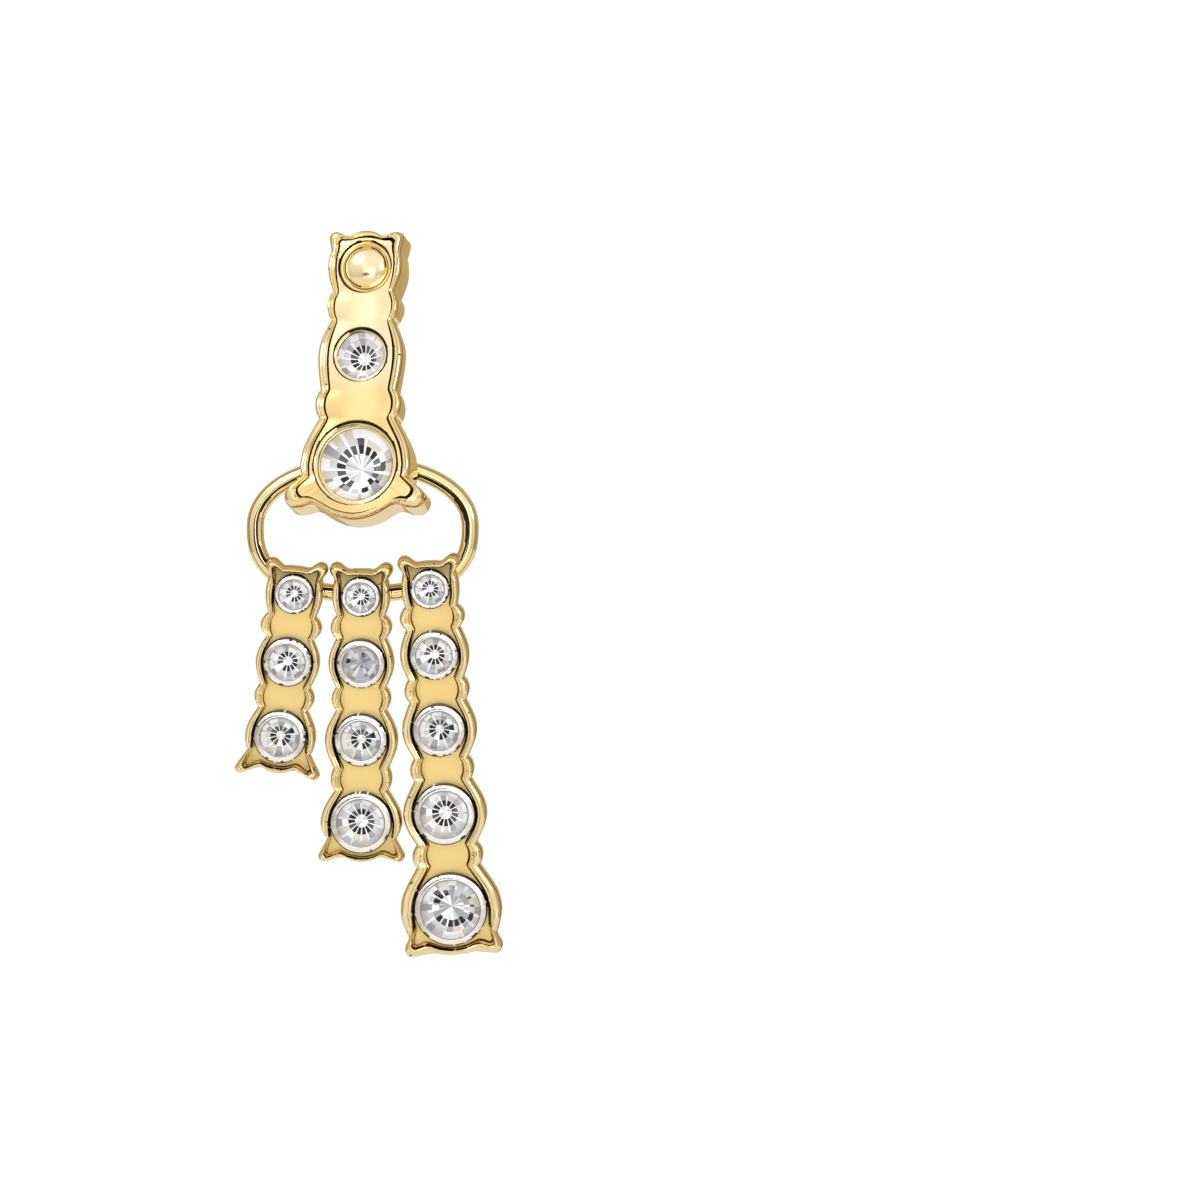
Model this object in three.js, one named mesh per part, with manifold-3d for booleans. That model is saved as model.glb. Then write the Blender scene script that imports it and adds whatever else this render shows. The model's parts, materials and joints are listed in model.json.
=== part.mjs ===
import * as THREE from 'three';
import { mergeVertices } from 'three/addons/utils/BufferGeometryUtils.js';
import Module from 'manifold-3d';

// A chandelier earring: a gold ear bar with two stones and a ball-headed post, an oval ring, and three
// scalloped trays of stones that hang on the ring. Millimetres, +Z up, the front faces -Y.
// The origin is where the post leaves the back of the ear bar.

const wasm = await Module();
wasm.setup();

// Stones and the collets round them
const stoneRadius = { tiny: 1.53, small: 1.88, medium: 2.03, large: 2.45, main: 3.06 };
const barStoneRadius = { small: 2.46, large: 3.69 };
const colletWall = { tiny: 0.33, small: 0.47, medium: 0.52, large: 0.55, main: 0.52 };
const stoneGap = 0.1;
const seatGap = 0.15;
const colletHeight = 1.1;
const girdleHeight = 0.85;
const tableShare = 0.56;
const crownShare = 0.3;
const pavilionShare = 0.72;
const girdleThickness = 0.12;
const colletLip = 0.1;
const colletBevel = 0.12;
const colletShoulder = 0.25;
const pavilionGap = 0.3;
const drillRadius = 0.5;
const floorSkin = 0.3;
const cutMargin = 1;

// Hanging ring
const wireRadius = 0.875;
const ringHalfWidth = 11.07;
const ringTopHeight = 6.41;
const ringBottomHeight = 6.82;
const ringTopPower = 2.1;
const ringBottomPower = 2.6;
const ringSteps = 60;
const wireSides = 8;

// Bails
const bailClearance = 0.5;
const bailWidth = 1.2;
const bailBite = 0.2;
const dropBailGauge = 0.6;
const barBailGauge = 0.8;
const bailSides = 20;
const bailSoftness = 0.3;

// Drop trays
const trayDepth = 2.5;
const trayFloor = 1.25;
const rimWidth = 0.95;
const floorMargin = 0.08;
const bumpHalfWidth = 3.2;
const bumpHalfLength = 1.15;
const floorBumpHalf = 2.1;
const floorNotchHalf = 1.76;
const dropLean = 8;

// Ear bar
const barDepth = 4.5;
const barFloor = 4.0;
const barReach = 20.74;
const barRimWidth = 1.0;
const barBumpHalfWidth = 3.72;
const barBumpHalfLength = 1.5;
const barFloorBumpHalf = 2.95;
const barFloorNotchHalf = 2.55;
const barStoneSink = 0.6;
const barStoneMargin = { small: 0.41, large: 0.77 };
const cupGap = 0.1;
const cupSeat = 0.3;
const barYaw = -8;
const barPitch = -13;
const archRise = 2.4;
const archStart = 2.7;
const archEnd = 17.9;
const archSides = 72;

// Post and its ball head
const headRadius = 2.3;
const headRecessGap = 0.47;
const headSink = 1.9;
const postRadius = 0.45;
const postLength = 10.5;
const postHoleGap = 0.3;
const postBevel = 0.2;
const headSide = 1.1;
const headHeight = 1.3;
const headBevel = 0.3;

// Ring position on the ear bar's back, below the post and to one side of the bar's middle line
const ringDrop = 19.5;
const ringOffset = -0.53;

// How slender the lobes at stones and at bumps are, and the shares of a lobe's half length that get a point
const stationSwell = 1.1;
const bumpSwell = 0.8;
const lobeSteps = [0.45, 0.78];
// Directions of the points round a horn's tip, in degrees, and how far the end's middle sags between them
const tipTurns = [-25, 20, 65, 115];
const endSag = 0.28;

// Share of the way from the outer edge to the floor's edge, and share of the full depth, per rim line
const trayRim = [
  { inward: 0, height: 0.7 },
  { inward: 0.3, height: 1 },
  { inward: 0.72, height: 0.97 },
];
const barRim = [
  { inward: 0, height: 0.86 },
  { inward: 0.3, height: 1 },
  { inward: 0.7, height: 0.99 },
];

// Both ends of an outline, as shares of the half width of the stone station that they close
const dropTopEnd = {
  outer: { neck: [0.93, 0.62], tip: [1.09, 1.16], radius: 0.24, dip: [0.46, 0.93], centre: 0.94 },
  inner: { neck: [0.98, 0.6], tip: [1.07, 1.17], radius: 0.08, dip: [0.64, 1.03], centre: 1.05 },
};
const barTopEnd = {
  outer: { neck: [0.95, 0.45], tip: [1.01, 0.94], radius: 0.13, dip: [0.53, 0.83], centre: 0.99 },
  inner: { neck: [0.95, 0.45], tip: [0.93, 0.95], radius: 0.1, dip: [0.5, 0.95], centre: 1.02 },
};
const barBottomEnd = {
  outer: { neck: [0.99, 0.28], tip: [1.27, 0.81], radius: 0.15, dip: [0.73, 0.75], centre: 1.03 },
  inner: { neck: [0.98, 0.3], tip: [1.22, 0.73], radius: 0.1, dip: [0.83, 0.79], centre: 1.09 },
};

// A drop's reach runs from its first stone to its last, and the rows' places are shares of it
const drops = [
  {
    name: 'drop_short',
    colour: 0xf2d98c,
    reach: 14.85,
    ringShare: -0.611,
    roll: 6.15,
    hang: 0.38,
    rows: [
      { at: 0, stone: 'tiny', rim: 0.95 },
      { at: 0.231, bump: 0.98, above: 0.77, below: 0.75 },
      { at: 0.476, stone: 'small', rim: 0.78 },
      { at: 0.728, bump: 0.96, above: 0.81, below: 0.78 },
      { at: 1, stone: 'medium', rim: 0.93 },
    ],
    bottomEnd: {
      outer: { neck: [0.91, 0.5], tip: [1.2, 1.17], radius: 0.14, dip: [0.5, 0.95], centre: 1.07 },
      inner: { neck: [0.97, 0.5], tip: [1.2, 1.22], radius: 0.08, dip: [0.72, 0.99], centre: 1.14 },
    },
  },
  {
    name: 'drop_middle',
    colour: 0xf0d482,
    reach: 23.37,
    ringShare: 0.0065,
    roll: 0.55,
    hang: -0.12,
    rows: [
      { at: 0, stone: 'tiny', rim: 0.98 },
      { at: 0.135, bump: 0.98, above: 0.78, below: 0.81 },
      { at: 0.295, stone: 'small', rim: 0.87 },
      { at: 0.4535, bump: 0.95, above: 0.81, below: 0.81 },
      { at: 0.634, stone: 'medium', rim: 1.06 },
      { at: 0.8105, bump: 0.98, above: 0.89, below: 0.86 },
      { at: 1, stone: 'large', rim: 1.05 },
    ],
    bottomEnd: {
      outer: { neck: [0.86, 0.45], tip: [1.06, 0.99], radius: 0.13, dip: [0.48, 0.88], centre: 0.99 },
      inner: { neck: [0.96, 0.45], tip: [1.11, 1.06], radius: 0.08, dip: [0.72, 0.93], centre: 1.12 },
    },
  },
  {
    name: 'drop_long',
    colour: 0xeed07a,
    reach: 33.23,
    ringShare: 0.6477,
    roll: -3.15,
    hang: 0.01,
    rows: [
      { at: 0, stone: 'tiny', rim: 0.96 },
      { at: 0.0888, bump: 1.04, above: 0.84, below: 0.87 },
      { at: 0.2065, stone: 'small', rim: 1.05 },
      { at: 0.316, bump: 1.04, above: 0.9, below: 0.91 },
      { at: 0.441, stone: 'medium', rim: 1.15 },
      { at: 0.5625, bump: 1.02, above: 0.88, below: 0.92 },
      { at: 0.703, stone: 'large', rim: 1.17 },
      { at: 0.833, bump: 1.13, above: 0.97, below: 1.02 },
      { at: 1, stone: 'main', rim: 1.5 },
    ],
    bottomEnd: {
      outer: { neck: [0.92, 0.5], tip: [0.97, 0.91], radius: 0.1, dip: [0.4, 0.84], centre: 0.95 },
      inner: { neck: [0.98, 0.4], tip: [1.06, 0.96], radius: 0.07, dip: [0.72, 0.88], centre: 1.07 },
    },
  },
];

const radians = THREE.MathUtils.degToRad;

const gold = (colour, roughness) => new THREE.MeshStandardMaterial({ color: colour, roughness, metalness: 1 });
const polishedGold = () => gold(0xf3dc96, 0.12);
const whiteMetal = () => gold(0xe9e9ea, 0.15);
const crystal = () => new THREE.MeshStandardMaterial({ color: 0xf4f2ee, roughness: 0.03, metalness: 0 });

// A closed mesh as a solid for joining and cutting
function toSolid(geometry) {
  const bare = geometry.clone();
  bare.deleteAttribute('normal');
  bare.deleteAttribute('uv');
  const merged = mergeVertices(bare, 1e-5);
  const corners = merged.index.array;
  const kept = [];
  for (let i = 0; i < corners.length; i += 3) {
    const [a, b, c] = [corners[i], corners[i + 1], corners[i + 2]];
    if (a !== b && b !== c && c !== a) kept.push(a, b, c);
  }
  const vertProperties = new Float32Array(merged.attributes.position.array);
  return new wasm.Manifold(new wasm.Mesh({ numProp: 3, vertProperties, triVerts: new Uint32Array(kept) }));
}

function toGeometry(solid) {
  const mesh = solid.getMesh();
  const geometry = new THREE.BufferGeometry();
  geometry.setAttribute('position', new THREE.BufferAttribute(mesh.vertProperties, mesh.numProp));
  geometry.setIndex(new THREE.BufferAttribute(mesh.triVerts, 1));
  return geometry;
}

// Walls between loops of equal length, with a flat cap on the first and last unless they run round
function loft(loops, runsRound = false) {
  const count = loops[0].length;
  const corners = [];
  const bands = runsRound ? loops.length : loops.length - 1;
  for (let band = 0; band < bands; band++) {
    const here = band * count;
    const next = ((band + 1) % loops.length) * count;
    for (let i = 0; i < count; i++) {
      const j = (i + 1) % count;
      corners.push(here + i, here + j, next + j, here + i, next + j, next + i);
    }
  }
  if (!runsRound) {
    const last = (loops.length - 1) * count;
    const flat = (loop) => loop.map((point) => new THREE.Vector2(point.x, point.z));
    for (const [a, b, c] of THREE.ShapeUtils.triangulateShape(flat(loops[0]), [])) corners.push(c, b, a);
    for (const [a, b, c] of THREE.ShapeUtils.triangulateShape(flat(loops.at(-1)), [])) {
      corners.push(last + a, last + b, last + c);
    }
  }
  const geometry = new THREE.BufferGeometry().setFromPoints(loops.flat());
  geometry.setIndex(corners);
  return geometry;
}

// A body of revolution about Y from rows of radius and y, the first row at the front
function turned(rows, sides) {
  return new THREE.LatheGeometry(rows.map(([radius, y]) => new THREE.Vector2(radius, y)), sides);
}

// Points from the neck of an end to its middle, right half, z measured outward from the station
function endPoints(end, half) {
  const [tipX, tipZ] = [end.tip[0] * half, end.tip[1] * half];
  const radius = end.radius * half;
  const [dipX, dipZ] = [end.dip[0] * half, end.dip[1] * half];
  const centre = end.centre * half;
  const points = [[end.neck[0] * half, end.neck[1] * half]];
  for (const turn of tipTurns) {
    const angle = radians(turn);
    points.push([tipX - radius + radius * Math.cos(angle), tipZ - radius + radius * Math.sin(angle)]);
  }
  points.push([dipX, dipZ]);
  points.push([dipX / 2, centre - (centre - dipZ) * endSag]);
  points.push([0, centre]);
  return points;
}

// Half widths down one side: round lobes at stones and bumps with a notch on each side of a bump
function sidePoints(lobes) {
  const points = [];
  for (const lobe of lobes) {
    const swell = (t) => Math.cos(t * Math.PI / 2) ** lobe.slender;
    for (const t of [...lobeSteps].reverse()) {
      points.push([lobe.above + (lobe.peak - lobe.above) * swell(t), lobe.z + t * lobe.rise]);
    }
    points.push([lobe.peak, lobe.z]);
    for (const t of lobeSteps) {
      points.push([lobe.below + (lobe.peak - lobe.below) * swell(t), lobe.z - t * lobe.fall]);
    }
    points.push([lobe.below, lobe.z - lobe.fall]);
  }
  points.pop();
  return points;
}

// A closed loop of the outline, from the bottom middle up the right side and down the left
function outline(strip, side) {
  const lobes = strip.lobes.map((lobe) => ({ ...lobe, ...lobe[side] }));
  const first = lobes[0];
  const last = lobes.at(-1);
  const top = endPoints(strip.topEnd[side], first.peak).map(([x, z]) => [x, first.z + z]);
  const bottom = endPoints(strip.bottomEnd[side], last.peak).map(([x, z]) => [x, last.z - z]);
  const right = [...top.reverse(), ...sidePoints(lobes), ...bottom];
  const left = right.slice(1, -1).map(([x, z]) => [-x, z]);
  return [...right.reverse(), ...left];
}

// Each lobe with its neighbours' notches, for the outer edge and the floor's edge
function stripLobes(rows, reach, sizes) {
  const lobes = rows.map((row) => {
    const z = -row.at * reach;
    const bump = { z, slender: bumpSwell, rise: sizes.bumpLength, fall: sizes.bumpLength };
    return row.bump ? { ...bump, ...sizes.bump(row) } : { z, slender: stationSwell, ...sizes.station(row) };
  });
  lobes.forEach((lobe, i) => {
    if (rows[i].bump) return;
    const [before, after] = [lobes[i - 1], lobes[i + 1]];
    for (const side of ['outer', 'inner']) {
      lobe[side].above = before ? before[side].below : sizes.topEnd[side].neck[0] * lobe[side].peak;
      lobe[side].below = after ? after[side].above : sizes.bottomEnd[side].neck[0] * lobe[side].peak;
    }
    lobe.rise = before ? before.z - before.fall - lobe.z : sizes.topEnd.outer.neck[1] * lobe.outer.peak;
    lobe.fall = after ? lobe.z - after.z - after.rise : sizes.bottomEnd.outer.neck[1] * lobe.outer.peak;
  });
  return { lobes, topEnd: sizes.topEnd, bottomEnd: sizes.bottomEnd };
}

// A strip with a raised rim: back face at y = 0, floor and rim towards -Y
function rimmedStrip(strip, depth, floor, rim) {
  const outer = outline(strip, 'outer');
  const inner = outline(strip, 'inner');
  const line = (inward, height) => outer.map(([x, z], i) => new THREE.Vector3(
    THREE.MathUtils.lerp(x, inner[i][0], inward), -height, THREE.MathUtils.lerp(z, inner[i][1], inward)));
  return loft([line(0, 0), ...rim.map((row) => line(row.inward, row.height * depth)), line(1, floor)]);
}

// A round cut stone with its girdle's top at y = 0 and its table towards -Y
function brilliant(radius) {
  const ring = (count, start, share, y) => Array.from({ length: count }, (_, i) => {
    const angle = start + (i * 2 * Math.PI) / count;
    return new THREE.Vector3(radius * share * Math.cos(angle), y, radius * share * Math.sin(angle));
  });
  const eighth = Math.PI / 8;
  const crown = crownShare * radius;
  const pavilion = pavilionShare * radius;
  const starShare = (1 + tableShare) / 2;
  const starDown = (starShare * Math.cos(eighth) - tableShare) / (1 - tableShare);
  const table = ring(8, 0, tableShare, -crown);
  const stars = ring(8, eighth, starShare, -crown * (1 - starDown));
  const girdleTop = ring(16, 0, 1, 0);
  const girdleBottom = ring(16, 0, 1, girdleThickness);
  const halfway = 0.5;
  const lowers = ring(8, eighth, halfway, girdleThickness + pavilion * (1 - halfway * Math.cos(eighth)));
  const culet = new THREE.Vector3(0, girdleThickness + pavilion, 0);
  const points = [...table, ...stars, ...girdleTop, ...girdleBottom, ...lowers, culet];
  const corners = [];
  const tri = (a, b, c) => corners.push(a, b, c);
  for (let i = 1; i < 7; i++) tri(0, i, i + 1);
  for (let i = 0; i < 8; i++) {
    const j = (i + 1) % 8;
    const star = 8 + i;
    const before = 8 + ((i + 7) % 8);
    const [main, side, next] = [16 + 2 * i, 16 + 2 * i + 1, 16 + ((2 * i + 2) % 16)];
    tri(i, star, j);
    tri(i, before, main);
    tri(i, main, star);
    tri(star, main, side);
    tri(star, side, next);
    const lower = 48 + i;
    const lowerBefore = 48 + ((i + 7) % 8);
    tri(lower, side + 16, main + 16);
    tri(lower, next + 16, side + 16);
    tri(56, lower, main + 16);
    tri(56, main + 16, lowerBefore);
  }
  for (let i = 0; i < 16; i++) {
    const j = (i + 1) % 16;
    tri(16 + i, 32 + i, 32 + j);
    tri(16 + i, 32 + j, 16 + j);
  }
  const geometry = new THREE.BufferGeometry().setFromPoints(points);
  geometry.setIndex(corners);
  return geometry;
}

// Space for a stone's pavilion below a girdle at height y, drilled through where it nears the back
function pavilionCut(radius, girdleY, top, back) {
  const culetY = girdleY + girdleThickness + pavilionShare * radius;
  const open = radius + pavilionGap;
  const slope = open / (culetY + pavilionGap - girdleY);
  const wide = open + (girdleY - top) * slope;
  const drilled = culetY + pavilionGap > back - floorSkin;
  const drillY = culetY + pavilionGap - drillRadius / slope;
  const rows = drilled
    ? [[0, top], [wide, top], [drillRadius, drillY], [drillRadius, back + cutMargin], [0, back + cutMargin]]
    : [[0, top], [wide, top], [0, culetY + pavilionGap]];
  return toSolid(turned(rows, 16));
}

// A round eye about X for the hanging ring's wire
function bail(gauge) {
  const inner = wireRadius + bailClearance;
  const outer = inner + gauge;
  const half = bailWidth / 2;
  const soft = gauge * bailSoftness;
  const rows = [[inner, -half + soft], [inner + soft, -half], [outer - soft, -half], [outer, -half + soft],
    [outer, half - soft], [outer - soft, half], [inner + soft, half], [inner, half - soft],
    [inner, -half + soft]];
  return turned(rows, bailSides).rotateZ(Math.PI / 2);
}

function named(name, geometry, material) {
  const mesh = new THREE.Mesh(geometry, material);
  mesh.name = name;
  return mesh;
}

// The ring's middle line from its centre, at a share of a full turn
function ringPoint(turn) {
  const angle = turn * 2 * Math.PI;
  const up = Math.sin(angle) >= 0;
  const power = 2 / (up ? ringTopPower : ringBottomPower);
  const height = up ? ringTopHeight : ringBottomHeight;
  const [c, s] = [Math.cos(angle), Math.sin(angle)];
  return new THREE.Vector3(
    ringHalfWidth * Math.sign(c) * Math.abs(c) ** power, 0, height * Math.sign(s) * Math.abs(s) ** power);
}

// Height of the ring's lower run at a share of its half width
function ringBottomAt(share) {
  return -ringBottomHeight * (1 - Math.abs(share) ** ringBottomPower) ** (1 / ringBottomPower);
}

function hangingRing() {
  const centres = Array.from({ length: ringSteps }, (_, i) => ringPoint((i + 0.5) / ringSteps));
  const sections = centres.map((centre, i) => {
    const before = centres[(i + ringSteps - 1) % ringSteps];
    const after = centres[(i + 1) % ringSteps];
    const along = after.clone().sub(before).normalize();
    const across = new THREE.Vector3(along.z, 0, -along.x);
    return Array.from({ length: wireSides }, (_, j) => {
      const angle = ((j + 0.5) / wireSides) * 2 * Math.PI;
      return centre.clone()
        .addScaledVector(across, wireRadius * Math.cos(angle))
        .add(new THREE.Vector3(0, wireRadius * Math.sin(angle), 0));
    });
  });
  return loft(sections, true);
}

// Drops: one tray, and a collet and a stone at each station
function drop(spec) {
  const bailReach = wireRadius + bailClearance + dropBailGauge - bailBite;
  const stations = spec.rows.filter((row) => row.stone).map((row) => {
    const radius = stoneRadius[row.stone];
    return { z: -row.at * spec.reach, radius, collet: radius + stoneGap + colletWall[row.stone] };
  });
  const sizes = {
    bumpLength: bumpHalfLength,
    topEnd: dropTopEnd,
    bottomEnd: spec.bottomEnd,
    station: (row) => {
      const inner = stoneRadius[row.stone] + stoneGap + colletWall[row.stone] + floorMargin;
      return { outer: { peak: inner + row.rim * rimWidth }, inner: { peak: inner } };
    },
    bump: (row) => ({
      outer: {
        peak: row.bump * bumpHalfWidth,
        above: row.above * bumpHalfWidth,
        below: row.below * bumpHalfWidth,
      },
      inner: { peak: floorBumpHalf, above: floorNotchHalf, below: floorNotchHalf },
    }),
  };
  const strip = stripLobes(spec.rows, spec.reach, sizes);
  const girdleY = -(trayFloor + seatGap + girdleHeight);
  let tray = toSolid(rimmedStrip(strip, trayDepth, trayFloor, trayRim));
  for (const station of stations) {
    const cut = pavilionCut(station.radius, girdleY, girdleY - cutMargin, 0);
    tray = tray.subtract(cut.translate([0, 0, station.z]));
  }
  const eye = bail(dropBailGauge).translate(0, bailReach, spec.hang);
  tray = tray.add(toSolid(eye));

  const body = new THREE.Group();
  const face = new THREE.Group();
  face.position.set(0, -bailReach, -spec.hang);
  face.add(named(`${spec.name}_tray`, toGeometry(tray), gold(spec.colour, 0.25)));
  stations.forEach((station, i) => {
    const bottom = -(trayFloor + seatGap);
    const top = bottom - colletHeight;
    const inner = station.radius + stoneGap;
    const rows = [[inner, top + colletLip], [station.collet - colletBevel, top],
      [station.collet, top + colletShoulder], [station.collet, bottom], [inner, bottom],
      [inner, top + colletLip]];
    const collet = named(`${spec.name}_collet_${i + 1}`, turned(rows, 16), whiteMetal());
    const stone = named(`${spec.name}_stone_${i + 1}`, brilliant(station.radius), crystal());
    collet.position.set(0, 0, station.z);
    stone.position.set(0, girdleY, station.z);
    face.add(collet, stone);
  });
  body.add(face);
  body.rotation.set(radians(dropLean), radians(spec.roll), 0);
  body.position.set(spec.ringShare * ringHalfWidth, 0, ringBottomAt(spec.ringShare));
  return body;
}

// Ear bar: one casting with its rim, recesses, arched back and bail, and what it carries
const barRows = [
  { at: 0, recess: headRadius + headRecessGap, margin: 0.18, rim: 0.9 },
  { at: 0.203, bump: 1, above: 0.86, below: 0.87, floor: 1 },
  { at: 0.4505, recess: barStoneRadius.small + barStoneMargin.small, margin: 0.46, rim: 1.11 },
  { at: 0.7027, bump: 1.21, above: 1.08, below: 1.08, floor: 1.16 },
  { at: 1, recess: barStoneRadius.large + barStoneMargin.large, margin: 0.34, rim: 0.95 },
];

function earBar() {
  const sizes = {
    bumpLength: barBumpHalfLength,
    topEnd: barTopEnd,
    bottomEnd: barBottomEnd,
    station: (row) => {
      const inner = row.recess + row.margin * barRimWidth;
      return { outer: { peak: inner + row.rim * barRimWidth }, inner: { peak: inner } };
    },
    bump: (row) => ({
      outer: {
        peak: row.bump * barBumpHalfWidth,
        above: row.above * barBumpHalfWidth,
        below: row.below * barBumpHalfWidth,
      },
      inner: {
        peak: row.floor * barFloorBumpHalf,
        above: row.floor * barFloorNotchHalf,
        below: row.floor * barFloorNotchHalf,
      },
    }),
  };
  const strip = stripLobes(barRows, barReach, sizes);
  let bar = toSolid(rimmedStrip(strip, barDepth, barFloor, barRim));

  const halfChord = (archEnd - archStart) / 2;
  const archRadius = (halfChord ** 2 + archRise ** 2) / (2 * archRise);
  const arch = new THREE.CylinderGeometry(archRadius, archRadius, 8 * barBumpHalfWidth, archSides);
  arch.rotateZ(Math.PI / 2).translate(0, archRadius - archRise, -(archStart + halfChord));
  bar = bar.subtract(toSolid(arch));

  const front = -barDepth - cutMargin;
  const headSeat = -(barFloor - headSink);
  const recess = toSolid(turned([[0, front], [barRows[0].recess, front], [barRows[0].recess, headSeat],
    [0, headSeat]], 32));
  const hole = toSolid(turned([[0, front], [postRadius + postHoleGap, front],
    [postRadius + postHoleGap, cutMargin], [0, cutMargin]], 16));
  bar = bar.subtract(recess).subtract(hole);

  const girdleY = -(barFloor - barStoneSink);
  const stoneSeats = [['small', barRows[2]], ['large', barRows[4]]];
  for (const [size, row] of stoneSeats) {
    const wide = row.recess;
    const narrow = barStoneRadius[size] + stoneGap;
    const cup = toSolid(turned([[0, front], [wide, front], [wide, -barFloor],
      [narrow + cupGap, girdleY + cupSeat], [0, girdleY + cupSeat]], 32));
    const below = pavilionCut(barStoneRadius[size], girdleY, girdleY, 0);
    bar = bar.subtract(cup.translate([0, 0, -row.at * barReach]));
    bar = bar.subtract(below.translate([0, 0, -row.at * barReach]));
  }

  const eye = bail(barBailGauge).rotateZ(radians(-barYaw)).translate(ringOffset, barBailReach, -ringDrop);
  bar = bar.add(toSolid(eye));

  const group = new THREE.Group();
  group.add(named('ear_bar', toGeometry(bar), polishedGold()));
  for (const [size, row] of stoneSeats) {
    const stone = named(`ear_bar_stone_${size}`, brilliant(barStoneRadius[size]), crystal());
    stone.position.set(0, girdleY, -row.at * barReach);
    group.add(stone);
  }

  const headBack = headSeat - seatGap;
  const dome = Array.from({ length: 7 }, (_, i) => {
    const angle = (i / 6) * (Math.PI / 2);
    return [headRadius * Math.sin(angle), headBack - headSide - headHeight * Math.cos(angle)];
  });
  const postRows = [...dome, [headRadius, headBack - headBevel], [headRadius - headBevel, headBack],
    [postRadius, headBack], [postRadius, postLength - postBevel], [postRadius - postBevel, postLength],
    [0, postLength]];
  group.add(named('ear_post', turned(postRows, 20), polishedGold()));
  group.rotation.set(radians(barPitch), 0, radians(barYaw), 'ZXY');
  return group;
}

const barBailReach = wireRadius + bailClearance + barBailGauge - bailBite;
const earring = new THREE.Group();
const bar = earBar();
bar.updateMatrix();
const ringTop = new THREE.Vector3(ringOffset, barBailReach, -ringDrop).applyMatrix4(bar.matrix);
const lower = new THREE.Group();
lower.position.copy(ringTop).add(new THREE.Vector3(0, 0, -ringTopHeight));
lower.add(named('hanging_ring', hangingRing(), polishedGold()));
for (const spec of drops) lower.add(drop(spec));
earring.add(bar, lower);

export default earring;
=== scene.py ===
import json
import math
import random
import bmesh
import bpy
from mathutils import Matrix, Vector


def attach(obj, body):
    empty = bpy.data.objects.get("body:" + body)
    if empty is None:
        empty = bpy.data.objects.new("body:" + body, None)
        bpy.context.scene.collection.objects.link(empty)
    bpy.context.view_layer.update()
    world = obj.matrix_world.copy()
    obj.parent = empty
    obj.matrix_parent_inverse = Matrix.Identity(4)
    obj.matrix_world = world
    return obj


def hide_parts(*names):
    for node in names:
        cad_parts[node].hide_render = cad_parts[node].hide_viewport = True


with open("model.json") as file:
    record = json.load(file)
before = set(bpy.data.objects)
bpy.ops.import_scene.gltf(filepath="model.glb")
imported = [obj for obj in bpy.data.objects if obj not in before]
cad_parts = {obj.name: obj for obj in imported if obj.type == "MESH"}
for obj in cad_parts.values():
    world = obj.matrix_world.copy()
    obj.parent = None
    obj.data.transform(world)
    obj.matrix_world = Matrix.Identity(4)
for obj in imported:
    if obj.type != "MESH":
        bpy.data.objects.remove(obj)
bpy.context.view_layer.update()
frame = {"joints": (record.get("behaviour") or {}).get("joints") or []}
print("frame loaded")

mm = 0.001
clearCut = 1                # mm that a cutter stands out of what it cuts
hinges = {joint["child"]: Vector(joint["pos_m"]) for joint in frame["joints"]}

# The photo's frame is 1200 pixels wide and the earring is 731 pixels and 75 mm tall in it
view = {
    "turn": 3.6,            # degrees round to the viewer's right
    "distance": 2.0,
    "frameWidth": 0.12312,
    "centreAcross": 0.02335,
    "centreUp": -0.03336,
    "depth": -0.004,
    "sensor": 36.0,
    "clipEnd": 50,
}


# Shader sockets as Python numbers

class Wire:
    def __init__(self, tree, socket):
        self.tree = tree
        self.socket = socket

    def math(self, operation, other):
        return self.tree.add("Math", {"operation": operation}, {0: self, 1: other}).out(0)

    def __add__(self, other):
        return self.math("ADD", other)

    def __radd__(self, other):
        return self.math("ADD", other)

    def __sub__(self, other):
        return self.math("SUBTRACT", other)

    def __mul__(self, other):
        return self.math("MULTIPLY", other)

    def __pow__(self, other):
        return self.math("POWER", other)


class Node:
    def __init__(self, tree, node):
        self.tree = tree
        self.node = node

    def out(self, name):
        return Wire(self.tree, self.node.outputs[name])


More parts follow.
